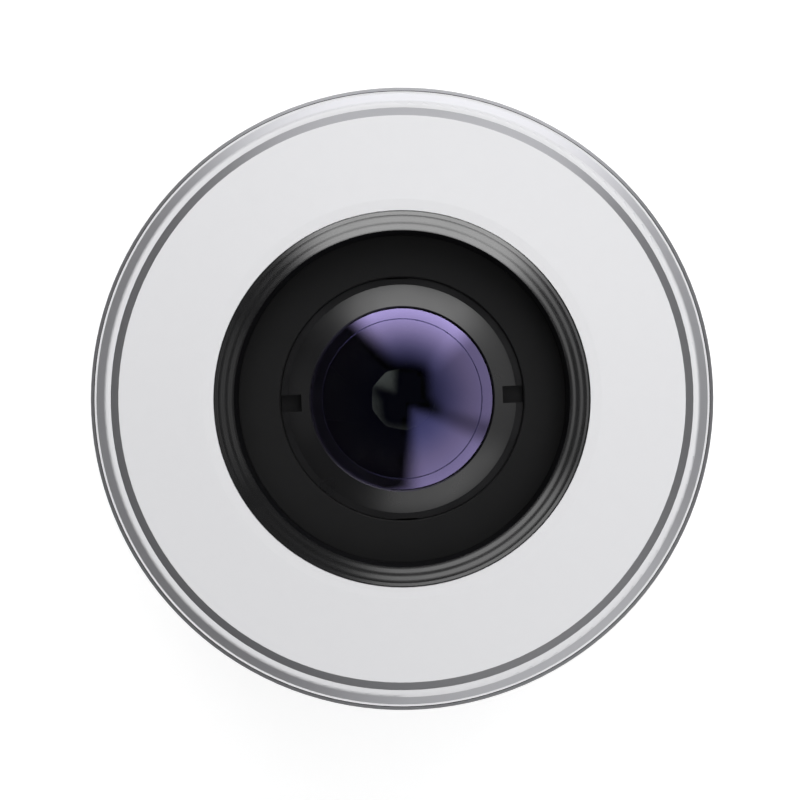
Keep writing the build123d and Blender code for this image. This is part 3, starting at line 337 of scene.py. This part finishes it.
anodised = {
    "colour": "#0B0B0C",
    "worn": "#0E0E10",
    "patchSize": 4.0,
    "satin": ((0.27, 0.33), 1.75),  # roughness from and to, and IOR of the sealed film
    "polished": ((0.22, 0.27), 2.2),
    "latheStep": 0.18,  # drawn coarser than real too
    "latheDetail": 2.0,
    "latheDepth": 0.0000018,
}


# black nose parts: aluminium turned, etched and dyed black as it is anodised, so satin with
# faint rings and clear soft highlights
def blackAnodised(kind):
    look = anodised
    roughness, ior = look[kind]
    material, tree, shader, mm = newMaterial(kind + "BlackAnodised")
    patches = addNode(
        tree,
        "ShaderNodeTexNoise",
        {"Scale": 1 / look["patchSize"], "Detail": 4.0},
        {"Vector": mm},
    )
    tone = addNode(
        tree,
        "ShaderNodeMix",
        {"data_type": "RGBA", 6: linear(look["colour"]), 7: linear(look["worn"])},
        {0: patches.outputs[0]},
    )
    tree.links.new(tone.outputs[2], shader.inputs["Base Color"])
    rough = addNode(
        tree,
        "ShaderNodeMapRange",
        {
            "From Min": noiseLow,
            "From Max": noiseHigh,
            "To Min": roughness[0],
            "To Max": roughness[1],
        },
        {"Value": patches.outputs[0]},
    )
    tree.links.new(rough.outputs[0], shader.inputs["Roughness"])
    tree.links.new(latheRings(tree, mm, look), shader.inputs["Normal"])
    shader.inputs["IOR"].default_value = ior
    return material


# each kind: colour, roughness, size of the tooth, its depth in metres, IOR; a real tooth is
# about 0.05, too fine to show
mattBlacks = {
    "sprayed": ("#0B0B0C", 0.60, 0.30, 0.0000040, 1.42),
    "dyed": ("#060607", 0.55, 0.30, 0.0000030, 1.25),
    "moulded": ("#1D1D20", 0.48, 0.22, 0.0000060, 1.50),
    "blade": ("#0E0E10", 0.42, 0.12, 0.0000010, 1.50),
    "patchSize": 2.5,
    "patchShade": (0.85, 1.15),
    "patchRoughness": 0.1,
}


# dull black of the inner parts: a blackened, sprayed or moulded skin with a fine even tooth,
# which swallows stray light
def mattBlack(kind):
    look = mattBlacks
    colour, roughness, tooth, depth, ior = look[kind]
    material, tree, shader, mm = newMaterial(kind + "Black")
    patches = addNode(
        tree,
        "ShaderNodeTexNoise",
        {"Scale": 1 / look["patchSize"], "Detail": 3.0},
        {"Vector": mm},
    )
    shade = addNode(
        tree,
        "ShaderNodeMapRange",
        {
            "From Min": noiseLow,
            "From Max": noiseHigh,
            "To Min": look["patchShade"][0],
            "To Max": look["patchShade"][1],
        },
        {"Value": patches.outputs[0]},
    )
    tone = addNode(
        tree,
        "ShaderNodeMix",
        {"data_type": "RGBA", "blend_type": "MULTIPLY", 0: 1.0, 6: linear(colour)},
        {7: shade.outputs[0]},
    )
    tree.links.new(tone.outputs[2], shader.inputs["Base Color"])
    rough = addNode(
        tree,
        "ShaderNodeMapRange",
        {
            "From Min": noiseLow,
            "From Max": noiseHigh,
            "To Min": roughness,
            "To Max": roughness + look["patchRoughness"],
        },
        {"Value": patches.outputs[0]},
    )
    tree.links.new(rough.outputs[0], shader.inputs["Roughness"])
    toothed = addNode(
        tree,
        "ShaderNodeTexNoise",
        {"Scale": 1 / tooth, "Detail": 3.0},
        {"Vector": mm},
    )
    bump = addNode(
        tree,
        "ShaderNodeBump",
        {"Strength": 1.0, "Distance": depth},
        {"Height": toothed.outputs[0]},
    )
    tree.links.new(bump.outputs[0], shader.inputs["Normal"])
    shader.inputs["IOR"].default_value = ior
    return material


# Felt and enamel

felt = {
    "colour": "#1C1B1E",
    "fibre": "#3A393E",
    "fibreSize": 0.25,  # wool is about 0.03, too fine to show
    "depth": 0.00003,
    "roughness": 0.95,
}


# dust seal: pressed wool, fibres lying every way, so it is soft and has no shine
def woolFelt():
    look = felt
    material, tree, shader, mm = newMaterial("woolFelt")
    fibres = addNode(
        tree,
        "ShaderNodeTexNoise",
        {"Scale": 1 / look["fibreSize"], "Detail": 6.0, "Distortion": 2.5},
        {"Vector": mm},
    )
    tone = addNode(
        tree,
        "ShaderNodeMix",
        {"data_type": "RGBA", 6: linear(look["colour"]), 7: linear(look["fibre"])},
        {0: fibres.outputs[0]},
    )
    tree.links.new(tone.outputs[2], shader.inputs["Base Color"])
    bump = addNode(
        tree,
        "ShaderNodeBump",
        {"Strength": 1.0, "Distance": look["depth"]},
        {"Height": fibres.outputs[0]},
    )
    tree.links.new(bump.outputs[0], shader.inputs["Normal"])
    shader.inputs["Roughness"].default_value = look["roughness"]
    return material


enamels = {
    "redEnamel": "#B0201C",
    "blackEnamel": "#161618",
    "signalRed": "#A8231F",
    "poolSize": 0.833,
    "poolShade": (0.85, 1.1),
    "roughness": (0.25, 0.45),
    "depth": 0.000004,
}


# baked paint rubbed into the engraving, or run into the dot's drilled seat: glossy where it
# pooled and duller where it was wiped
def enamel(kind):
    look = enamels
    material, tree, shader, mm = newMaterial(kind)
    pool = addNode(
        tree,
        "ShaderNodeTexNoise",
        {"Scale": 1 / look["poolSize"], "Detail": 2.0},
        {"Vector": mm},
    )
    shade = addNode(
        tree,
        "ShaderNodeMapRange",
        {
            "From Min": noiseLow,
            "From Max": noiseHigh,
            "To Min": look["poolShade"][0],
            "To Max": look["poolShade"][1],
        },
        {"Value": pool.outputs[0]},
    )
    tone = addNode(
        tree,
        "ShaderNodeMix",
        {"data_type": "RGBA", "blend_type": "MULTIPLY", 0: 1.0, 6: linear(look[kind])},
        {7: shade.outputs[0]},
    )
    tree.links.new(tone.outputs[2], shader.inputs["Base Color"])
    rough = addNode(
        tree,
        "ShaderNodeMapRange",
        {"To Min": look["roughness"][0], "To Max": look["roughness"][1]},
        {"Value": pool.outputs[0]},
    )
    tree.links.new(rough.outputs[0], shader.inputs["Roughness"])
    bump = addNode(
        tree,
        "ShaderNodeBump",
        {"Strength": 0.6, "Distance": look["depth"]},
        {"Height": pool.outputs[0]},
    )
    tree.links.new(bump.outputs[0], shader.inputs["Normal"])
    return material


# Glass

# the tint weakens a glass's own reflection, as its layers do on the real one
glasses = {
    "front": {"ior": 1.70, "tint": "#30303F"},
    "inner": {"ior": 1.62, "tint": "#272727"},
    "rear": {"ior": 1.62, "tint": "#898989"},
    "colour": "#F4F6F4",
    "dustSize": 1.43,
    "dustSpan": (0.55, 0.8),  # part of the noise over which the dust gets thicker
    "dustRoughness": 0.02,
}


# polished optical glass with anti-reflection layers: nearly clear, with a breath of dust
def polishedGlass(kind):
    look = glasses
    material, tree, shader, mm = newMaterial(kind + "Glass")
    dust = addNode(
        tree,
        "ShaderNodeTexNoise",
        {"Scale": 1 / look["dustSize"], "Detail": 8.0},
        {"Vector": mm},
    )
    rough = addNode(
        tree,
        "ShaderNodeMapRange",
        {
            "From Min": look["dustSpan"][0],
            "From Max": look["dustSpan"][1],
            "To Min": 0.0,
            "To Max": look["dustRoughness"],
        },
        {"Value": dust.outputs[0]},
    )
    tree.links.new(rough.outputs[0], shader.inputs["Roughness"])
    shader.inputs["Base Color"].default_value = linear(look["colour"])
    shader.inputs["Transmission Weight"].default_value = 1.0
    shader.inputs["IOR"].default_value = look[kind]["ior"]
    shader.inputs["Specular Tint"].default_value = linear(look[kind]["tint"])
    return material


violetLayers = {
    "centre": "#9E9EF8",
    "rim": "#C5B6F8",
    "turnsFrom": 3.0,  # radius where the colour starts to change, and where it has
    "turnsTo": 7.5,
    "share": 0.34,
    "roughness": 0.03,
    "ring": (8.22, 0.055),  # thin ring on the glass: radius and half width
    "ringTone": "#736CAA",
    "ringRoughness": 0.35,
}


# the front glass's coat: thin layers that return violet light, bluer where it falls straight on
def violetCoat():
    look = violetLayers
    material, tree, shader, mm = newMaterial("violetCoat")
    radius = axisDistance(tree, mm)
    outward = addNode(
        tree,
        "ShaderNodeMapRange",
        {
            "interpolation_type": "SMOOTHSTEP",
            "From Min": look["turnsFrom"],
            "From Max": look["turnsTo"],
        },
        {"Value": radius},
    )
    tone = addNode(
        tree,
        "ShaderNodeMix",
        {"data_type": "RGBA", 6: linear(look["centre"]), 7: linear(look["rim"])},
        {0: outward.outputs[0]},
    )
    ring = addNode(
        tree,
        "ShaderNodeMath",
        {"operation": "COMPARE", 1: look["ring"][0], 2: look["ring"][1]},
        {0: radius},
    )
    tone = addNode(
        tree,
        "ShaderNodeMix",
        {"data_type": "RGBA", 7: linear(look["ringTone"])},
        {0: ring.outputs[0], 6: tone.outputs[2]},
    )
    tree.links.new(tone.outputs[2], shader.inputs["Base Color"])
    rough = addNode(
        tree,
        "ShaderNodeMapRange",
        {"To Min": look["roughness"], "To Max": look["ringRoughness"]},
        {"Value": ring.outputs[0]},
    )
    tree.links.new(rough.outputs[0], shader.inputs["Roughness"])
    shader.inputs["Metallic"].default_value = 1.0
    shader.inputs["Alpha"].default_value = look["share"]
    return material


plainLayer = {
    "colour": "#F2F2F6",
    "share": 0.45,  # more than a real layer returns, for the glass before it passes less here
    "roughness": (0.02, 0.04),
    "breathSize": 2.0,
}


# the single layer on the glass behind the iris: returns the light nearly without colour
def plainCoat():
    look = plainLayer
    material, tree, shader, mm = newMaterial("plainCoat")
    breath = addNode(
        tree,
        "ShaderNodeTexNoise",
        {"Scale": 1 / look["breathSize"], "Detail": 3.0},
        {"Vector": mm},
    )
    rough = addNode(
        tree,
        "ShaderNodeMapRange",
        {"To Min": look["roughness"][0], "To Max": look["roughness"][1]},
        {"Value": breath.outputs[0]},
    )
    tree.links.new(rough.outputs[0], shader.inputs["Roughness"])
    shader.inputs["Base Color"].default_value = linear(look["colour"])
    shader.inputs["Metallic"].default_value = 1.0
    shader.inputs["Alpha"].default_value = look["share"]
    return material


finishes = {
    "silver_body": blastedAluminium(),
    "silver_turned": turnedMetal("silver"),
    "black_anodised": blackAnodised("satin"),
    "black_flat": mattBlack("sprayed"),
    "chrome_brass": turnedMetal("chrome"),
    "steel": turnedMetal("steel"),
    "brass": turnedMetal("brass"),
    "raw_aluminium": turnedMetal("raw"),
    "black_moulded": mattBlack("moulded"),
    "blade_black": mattBlack("blade"),
    "felt": woolFelt(),
    "red_enamel": enamel("redEnamel"),
    "coated_glass": polishedGlass("front"),
    "inner_glass": polishedGlass("inner"),
}
rearGlass = polishedGlass("rear")
for part in frame["record"]["subparts"]:
    node = frame["nodes"][part["node"]]
    for holder in node.material_slots:
        holder.material = rearGlass if part["node"] == "rear_flint" else finishes[part["material_slot"]]
print("materials on", len(frame["nodes"]), "nodes")


# every new piece goes through here, from a mesh in metres in the lens's own place
def meshPiece(name, bm, material, body):
    bmesh.ops.recalc_face_normals(bm, faces=bm.faces)
    mesh = bpy.data.meshes.new(name)
    bm.to_mesh(mesh)
    bm.free()
    piece = bpy.data.objects.new(name, mesh)
    scene.collection.objects.link(piece)
    mesh.materials.append(material)
    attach(piece, body)
    return piece


# Front collar with its filter thread

# millimetres, with depths from the rim down
collar = {
    "foot": 5.2,  # depth of the collar's foot
    "flange": (19.02, 4.2),  # radius, and depth of the shoulder over it
    "bore": 17.0,
    "radius": 19.22,
    "ribFoot": 1.1,  # depth at which the slope with the ribs starts
    "ribs": [18.7, 17.91, 17.16],  # radius at which each rib ends
    "ribPoints": 10,
    "ripple": 0.014,  # height of the wave over each rib
    "mouth": (0.37, 0.62),  # how far it narrows, and over which depth
    "crest": 16.73,  # radius of the thread's crests
    "threadLength": 1.25,
    "threadDepth": 0.27,
    "pitch": 0.5,
    "groove": (1.25, 0.125),  # how steep its sides are, and what that takes off for a flat crest
    "runOut": 3,  # steps in which the thread starts and ends
    "relief": 0.2,  # from the thread down to the edge of the bore
    "stepsPerTurn": 8,
    "segments": 256,
    "sharp": 24,  # degrees at which an edge stays sharp
    "margin": 0.01,  # so that the edge of the mouth counts as inside
}


# outline from the foot up over the ribs and into the mouth
def collarOutline():
    look = collar
    outer, shoulder = look["flange"]
    points = [(look["bore"], -look["foot"]), (outer, -look["foot"])]
    points += [(outer, -shoulder), (look["radius"], -shoulder), (look["radius"], -look["ribFoot"])]
    inner = look["ribs"][-1]
    slope = look["ribFoot"] / (look["radius"] - inner)
    for start, end in zip([look["radius"]] + look["ribs"], look["ribs"]):
        for step in range(1, look["ribPoints"] + 1):
            along = step / look["ribPoints"]
            r = start + (end - start) * along
            points.append((r, -slope * (r - inner) + look["ripple"] * sin(tau * along)))
    run, drop = look["mouth"]
    return points + [(look["crest"] + run, 0.0), (look["crest"], -drop)]


def filterCollar():
    look = collar
    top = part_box("front_collar")[1][2] * 1000
    outline = [(r, top + z) for r, z in collarOutline()]
    threadTop = top - look["mouth"][1]
    rows = round(look["threadLength"] / look["pitch"] * look["stepsPerTurn"])
    steepness, crestFlat = look["groove"]
    bm = bmesh.new()
    rings = []
    for step in range(look["segments"]):
        angle = tau * step / look["segments"]
        points = list(outline)
        for row in range(1, rows + 1):
            z = threadTop - look["threadLength"] * row / rows
            phase = (z / look["pitch"] + step / look["segments"]) % 1
            groove = 1 - abs(2 * phase - 1)
            fade = min(1.0, row / look["runOut"], (rows - row) / look["runOut"])
            cut = look["threadDepth"] * max(0.0, groove * steepness - crestFlat) * fade
            points.append((look["crest"] + cut, z))
        points.append((look["bore"], points[-1][1] - look["relief"]))
        ring = [(r * cos(angle) / 1000, r * sin(angle) / 1000, z / 1000) for r, z in points]
        rings.append([bm.verts.new(place) for place in ring])
    for one, two in zip(rings, rings[1:] + rings[:1]):
        for i in range(len(one)):
            j = (i + 1) % len(one)
            bm.faces.new((one[i], two[i], two[j], one[j]))
    for face in bm.faces:
        face.smooth = True
    bm.normal_update()
    for edge in bm.edges:
        edge.smooth = edge.calc_face_angle(0.0) < radians(look["sharp"])
    # the mouth and the thread get the second material
    inside = look["crest"] + look["mouth"][0] + look["margin"]
    for face in bm.faces:
        face.material_index = int(all(Vector(v.co[:2]).length * 1000 < inside for v in face.verts))
    piece = meshPiece("filterCollar", bm, blackAnodised("polished"), "front_group")
    piece.data.materials.append(mattBlack("dyed"))
    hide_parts("front_collar")


filterCollar()
print("collar made")


# Coats on the front glass and on the glass behind the iris

# millimetres: radius of curvature, reach of the coat, and 1 for a dome or -1 for a hollow
skins = {
    "front": (28.0, 9.6, 1),
    "rear": (11.0, 6.4, -1),
    "rearRim": 6.5,  # radius of the hollow's edge
    "lift": 0.01,  # off the glass
    "rings": 40,
    "segments": 128,
}


def sag(curve, r):
    return curve - (curve**2 - r * r) ** 0.5


# a coat lies on its glass as a skin of its own, from the place of the glass on the axis
def coatSkin(name, apex, form, material):
    curve, reach, bend = form
    angles = [tau * step / skins["segments"] for step in range(skins["segments"])]
    bm = bmesh.new()
    top = bm.verts.new((0, 0, (apex + skins["lift"]) / 1000))
    rings = []
    for row in range(1, skins["rings"] + 1):
        r = reach * row / skins["rings"]
        z = apex + skins["lift"] - bend * sag(curve, r)
        rings.append([bm.verts.new((r * cos(a) / 1000, r * sin(a) / 1000, z / 1000)) for a in angles])
    for i in range(skins["segments"]):
        j = (i + 1) % skins["segments"]
        bm.faces.new((top, rings[0][i], rings[0][j]))
        for one, two in zip(rings, rings[1:]):
            bm.faces.new((one[i], two[i], two[j], one[j]))
    for face in bm.faces:
        face.smooth = True
    meshPiece(name, bm, material, "front_group")


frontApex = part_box("front_element")[1][2] * 1000
coatSkin("frontCoat", frontApex, skins["front"], violetCoat())
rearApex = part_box("rear_flint")[1][2] * 1000 - sag(skins["rear"][0], skins["rearRim"])
coatSkin("rearCoat", rearApex, skins["rear"], plainCoat())
print("coats made")


# Numbers and marks

# millimetres; a flat piece is cut this often along the ring, so that it bends round it
marks = {"lift": 0.012, "cutEvery": 0.4, "curveSteps": 4}


# flat pieces of type and line, in millimetres along the ring and up it, then wrapped round it
def flatText(bm, words, x, y, size):
    curve = bpy.data.curves.new("type", "FONT")
    curve.body = words
    curve.size = size
    curve.align_x = "CENTER"
    curve.align_y = "CENTER"
    curve.extrude = marks["lift"]
    curve.resolution_u = marks["curveSteps"]
    letters = bpy.data.objects.new("type", curve)
    scene.collection.objects.link(letters)
    bpy.context.view_layer.update()
    mesh = bpy.data.meshes.new_from_object(letters.evaluated_get(bpy.context.evaluated_depsgraph_get()))
    for vertex in mesh.vertices:
        vertex.co += Vector((x, y, 0))
    bm.from_mesh(mesh)
    bpy.data.objects.remove(letters)
    bpy.data.meshes.remove(mesh)


def flatBar(bm, x, y, size):
    width, height = size
    made = bmesh.ops.create_cube(bm, size=1.0)
    for vertex in made["verts"]:
        at = vertex.co
        vertex.co = Vector((x + at.x * width, y + at.y * height, at.z * 2 * marks["lift"]))


# 0 along the ring comes to the index, at the top of the lens
def wrapped(name, bm, radius, material, body):
    xs = [v.co.x for v in bm.verts]
    at = min(xs)
    while at < max(xs):
        at += marks["cutEvery"]
        whole = bm.verts[:] + bm.edges[:] + bm.faces[:]
        bmesh.ops.bisect_plane(bm, geom=whole, plane_co=(at, 0, 0), plane_no=(1, 0, 0))
    for vertex in bm.verts:
        angle = pi / 2 + vertex.co.x / radius
        out = (radius + vertex.co.z) / 1000
        vertex.co = Vector((out * cos(angle), out * sin(angle), vertex.co.y / 1000))
    return meshPiece(name, bm, material, body)


blackPaint = enamel("blackEnamel")
redPaint = enamel("signalRed")

# the ring turns a number's angle forward to bring it to the index
apertureScale = {
    "radius": 31.52,
    "numbers": [("4", -36.62), ("5.6", -20.23), ("8", -7.89), ("11", 0.0), ("16", 6.61)],
    "numberHeight": 19.5,
    "numberSize": 1.84,
    "lineHeight": 21.2,
    "line": (0.16, 0.7),
}


def apertureNumbers():
    look = apertureScale
    bm = bmesh.new()
    for words, turn in look["numbers"]:
        x = -radians(turn) * look["radius"]
        flatText(bm, words, x, look["numberHeight"], look["numberSize"])
        flatBar(bm, x, look["lineHeight"], look["line"])
    wrapped("apertureNumbers", bm, look["radius"], blackPaint, "aperture")


distanceScale = {
    "radius": 31.67,
    "focal": 40.0,
    "slidePerDegree": 14 / 240,
    "metres": [2, 1, 0.7, 0.5, 0.4, 0.35, 0.3, 0.27, 0.25, 0.23, 0.21],
    "farHeight": 31.4,
    "farSize": 2.3,
    "numberHeight": 31.3,
    "numberSize": 1.955,
    "lineHeight": 28.0,
    "line": (0.16, 0.9),
    "ratios": [10, 6, 5, 4, 3],
    "ratioHeight": 29.2,
    "ratioSize": 1.38,
}


# where the ring stands for a subject so many metres from the sensor, from the thin lens formula
def turnForMetres(metres):
    look = distanceScale
    total = metres * 1000 / look["focal"] - 2
    share = (total - (total * total - 4) ** 0.5) / 2
    return share * look["focal"] / look["slidePerDegree"]


def distanceNumbers():
    look = distanceScale
    bm = bmesh.new()
    flatText(bm, "∞", 0, look["farHeight"], look["farSize"])
    for metres in look["metres"]:
        x = -radians(turnForMetres(metres)) * look["radius"]
        flatText(bm, f"{metres:g}", x, look["numberHeight"], look["numberSize"])
        flatBar(bm, x, look["lineHeight"], look["line"])
    wrapped("distanceNumbers", bm, look["radius"], blackPaint, "focus")
    bm = bmesh.new()
    for ratio in look["ratios"]:
        x = -radians(look["focal"] / ratio / look["slidePerDegree"]) * look["radius"]
        flatText(bm, f"1:{ratio}", x, look["ratioHeight"], look["ratioSize"])
    wrapped("ratioNumbers", bm, look["radius"], redPaint, "focus")


# the long line is the index, and the short ones show how far the sharp range goes at a stop
indexMarks = {
    "radius": 31.52,
    "lineHeight": 24.5,
    "line": (0.22, 4.2),
    "stops": [(8, 4.1), (16, 8.2)],
    "shortHeight": 25.8,
    "short": (0.16, 1.6),
    "numberHeight": 23.9,
    "numberSize": 1.495,
}


def indexLines():
    look = indexMarks
    bm = bmesh.new()
    flatBar(bm, 0, look["lineHeight"], look["line"])
    for stop, turn in look["stops"]:
        for side in (-1, 1):
            x = side * radians(turn) * look["radius"]
            flatBar(bm, x, look["shortHeight"], look["short"])
            flatText(bm, str(stop), x, look["numberHeight"], look["numberSize"])
    wrapped("indexMarks", bm, look["radius"], blackPaint, "root")


apertureNumbers()
distanceNumbers()
indexLines()
print("numbers made")


# Light, floor and camera

# heights in metres, the rest as slopes away from the axis
canopy = {
    "height": 0.60,
    "above": 0.056,  # the front glass, which the slopes are taken from
    "reach": 2.7,
    "cell": 0.03,
    "edge": 0.03,  # half the width of a soft border, and how much it grows outward
    "edgeGrowth": 0.13,
    "dark": 0.001,
}

# light cloths over the lens, with corners as slopes away from the axis
cloths = {
    "top": {
        "corners": [
            (-0.036, 0.256),
            (-0.30, 0.60),
            (-1.0, 1.5),
            (-1.2, 2.6),
            (1.6, 2.6),
            (1.6, 1.7),
            (0.266, 0.256),
        ],
        "level": 2.6,
        "fadesIn": (0.2, 1.15),
    },
    "right": {
        "corners": [
            (0.22, 0.03),
            (0.22, 0.25),
            (1.2, 1.22),
            (1.5, 0.8),
            (1.4, -0.42),
            (0.34, -0.12),
        ],
        "level": 0.62,
        "fadesIn": (0.0, 0.85),
    },
    "left": {
        "corners": [(-1.05, -0.5), (-1.05, 0.4), (-1.7, 0.8), (-1.9, 0.0), (-1.7, -0.9)],
        "level": 0.3,
        "fadesIn": (0.8, 1.1),
    },
    "low": {
        "corners": [
            (0.074, -0.077),
            (0.086, -0.35),
            (0.10, -0.87),
            (-0.25, -1.05),
            (-0.3, -1.8),
            (0.9, -1.8),
            (1.6, -1.1),
            (1.4, -0.66),
            (0.376, -0.185),
        ],
        "level": 1.25,
        "fadesIn": (-0.45, 1.5),
    },
}


def easeIn(value, low, high):
    t = min(1.0, max(0.0, (value - low) / (high - low)))
    return t * t * (3 - 2 * t)


# how far a place lies inside an outline, less than nothing outside
def depthInside(place, corners):
    inside = False
    nearest = float("inf")
    for a, b in zip(corners, corners[1:] + corners[:1]):
        a, b = Vector(a), Vector(b)
        if (a.y > place.y) != (b.y > place.y):
            if place.x < a.x + (b.x - a.x) * (place.y - a.y) / (b.y - a.y):
                inside = not inside
        along = min(1.0, max(0.0, (place - a).dot(b - a) / (b - a).length_squared))
        nearest = min(nearest, (place - a - (b - a) * along).length)
    return nearest if inside else -nearest


def clothLevel(place):
    soft = canopy["edge"] + canopy["edgeGrowth"] * place.length
    level = 0.0
    for cloth in cloths.values():
        within = easeIn(depthInside(place, cloth["corners"]), -soft, soft)
        level += cloth["level"] * within * easeIn(place.length, *cloth["fadesIn"])
    return level


# one wide canopy, whose points carry the cloths' brightness and which is open where there is none
def lightCanopy():
    rise = canopy["height"]
    count = round(2 * canopy["reach"] / canopy["cell"])
    bm = bmesh.new()
    glow = bm.verts.layers.float.new("glow")
    bmesh.ops.create_grid(bm, x_segments=count, y_segments=count, size=canopy["reach"])
    for vertex in bm.verts:
        vertex[glow] = clothLevel(vertex.co.xy)
        vertex.co = Vector((vertex.co.x * rise, vertex.co.y * rise, canopy["above"] + rise))
    unlit = [face for face in bm.faces if max(v[glow] for v in face.verts) < canopy["dark"]]
    bmesh.ops.delete(bm, geom=unlit, context="FACES")
    mesh = bpy.data.meshes.new("lightCanopy")
    bm.to_mesh(mesh)
    bm.free()
    cover = bpy.data.objects.new("lightCanopy", mesh)
    scene.collection.objects.link(cover)
    material = bpy.data.materials.new("litCloth")
    material.use_nodes = True
    tree = material.node_tree
    tree.nodes.clear()
    level = addNode(tree, "ShaderNodeAttribute", {"attribute_name": "glow"})
    light = addNode(tree, "ShaderNodeEmission", {}, {"Strength": level.outputs["Fac"]})
    addNode(tree, "ShaderNodeOutputMaterial", {}, {"Surface": light.outputs[0]})
    mesh.materials.append(material)
    cover.visible_camera = False


# metres
paper = {
    "radius": 2.5,
    "sides": 128,
    "tone": "#CFCFCF",
    "roughness": 0.9,
    "glow": 0.52,
    "paintedShadow": (0.020, 0.036),  # painted shadow under the lens: no glow there, and all of it beyond
}


# the glow only lifts what is seen of the floor, also by way of metal and glass, and fades out under the
# lens as a painted shadow
def whiteFloor():
    look = paper
    bpy.ops.mesh.primitive_circle_add(
        vertices=look["sides"],
        radius=look["radius"],
        fill_type="NGON",
        location=(0, 0, 0),
    )
    floor = bpy.context.object
    floor.name = "floor"
    material = bpy.data.materials.new("whitePaper")
    material.use_nodes = True
    tree = material.node_tree
    shader = tree.nodes["Principled BSDF"]
    shader.inputs["Base Color"].default_value = linear(look["tone"])
    shader.inputs["Roughness"].default_value = look["roughness"]
    rays = addNode(tree, "ShaderNodeLightPath")
    seen = addNode(
        tree,
        "ShaderNodeMath",
        {"operation": "MAXIMUM"},
        {0: rays.outputs["Is Camera Ray"], 1: rays.outputs["Is Glossy Ray"]},
    )
    seen = addNode(
        tree,
        "ShaderNodeMath",
        {"operation": "MAXIMUM"},
        {0: seen.outputs[0], 1: rays.outputs["Is Transmission Ray"]},
    )
    place = addNode(tree, "ShaderNodeTexCoord")
    away = addNode(
        tree,
        "ShaderNodeVectorMath",
        {"operation": "LENGTH"},
        {0: place.outputs["Object"]},
    )
    # painted shadow: the glow fades out under the lens
    beyond = addNode(
        tree,
        "ShaderNodeMapRange",
        {
            "interpolation_type": "SMOOTHSTEP",
            "From Min": look["paintedShadow"][0],
            "From Max": look["paintedShadow"][1],
        },
        {"Value": away.outputs["Value"]},
    )
    glow = addNode(
        tree,
        "ShaderNodeMath",
        {"operation": "MULTIPLY"},
        {0: seen.outputs[0], 1: beyond.outputs[0]},
    )
    glow = addNode(tree, "ShaderNodeMath", {"operation": "MULTIPLY", 1: look["glow"]}, {0: glow.outputs[0]})
    shader.inputs["Emission Color"].default_value = (1, 1, 1, 1)
    tree.links.new(glow.outputs[0], shader.inputs["Emission Strength"])
    floor.data.materials.append(material)


# brightness of the room by a direction's upward share; the camera itself sees white
room = [(0.0, 1.0), (0.10, 0.04), (0.50, 0.05), (0.60, 0.12), (0.69, 0.10), (0.77, 0.008)]


def dimRoom():
    world = bpy.data.worlds.new("studioWorld")
    world.use_nodes = True
    tree = world.node_tree
    tree.nodes.clear()
    place = addNode(tree, "ShaderNodeTexCoord")
    split = addNode(tree, "ShaderNodeSeparateXYZ", {}, {0: place.outputs["Generated"]})
    fall = addNode(tree, "ShaderNodeValToRGB", {}, {"Fac": split.outputs["Z"]})
    stops = fall.color_ramp.elements
    stops.remove(stops[0])
    for height, grey in room:
        stop = stops.new(height)
        stop.color = (grey, grey, grey, 1.0)
    stops.remove(stops[-1])
    rays = addNode(tree, "ShaderNodeLightPath")
    level = addNode(
        tree,
        "ShaderNodeMix",
        {"data_type": "FLOAT", 3: 1.0},
        {0: rays.outputs["Is Camera Ray"], 2: fall.outputs[0]},
    )
    glow = addNode(tree, "ShaderNodeBackground", {"Color": (1, 1, 1, 1)}, {"Strength": level.outputs[0]})
    addNode(tree, "ShaderNodeOutputWorld", {}, {"Surface": glow.outputs[0]})
    scene.world = world


# metres and watts
lamp = {"height": 0.58, "width": 1.0, "watts": 3.4}


# even light from over the lens
def softFill():
    fill = bpy.data.objects.new("softFill", bpy.data.lights.new("softFill", "AREA"))
    scene.collection.objects.link(fill)
    fill.location = (0, 0, lamp["height"])
    fill.data.shape = "DISK"
    fill.data.size = lamp["width"]
    fill.data.energy = lamp["watts"]
    fill.visible_glossy = False  # the cloth over this lamp is too dim to show as a reflection
    fill.visible_transmission = False


# height and nearest distance in metres, lens and sensor in millimetres
view = {"height": 0.360, "lens": 133.43, "sensor": 36, "shift": (-0.0026, -0.0015), "near": 0.01}


def frontCamera():
    camera = bpy.data.objects.new("camera", bpy.data.cameras.new("camera"))
    scene.collection.objects.link(camera)
    scene.camera = camera
    camera.location = (0, 0, view["height"])
    camera.data.lens = view["lens"]
    camera.data.sensor_width = view["sensor"]
    camera.data.shift_x, camera.data.shift_y = view["shift"]
    camera.data.clip_start = view["near"]


lightCanopy()
whiteFloor()
dimRoom()
softFill()
frontCamera()
scene.view_settings.view_transform = "Standard"
print("studio made")
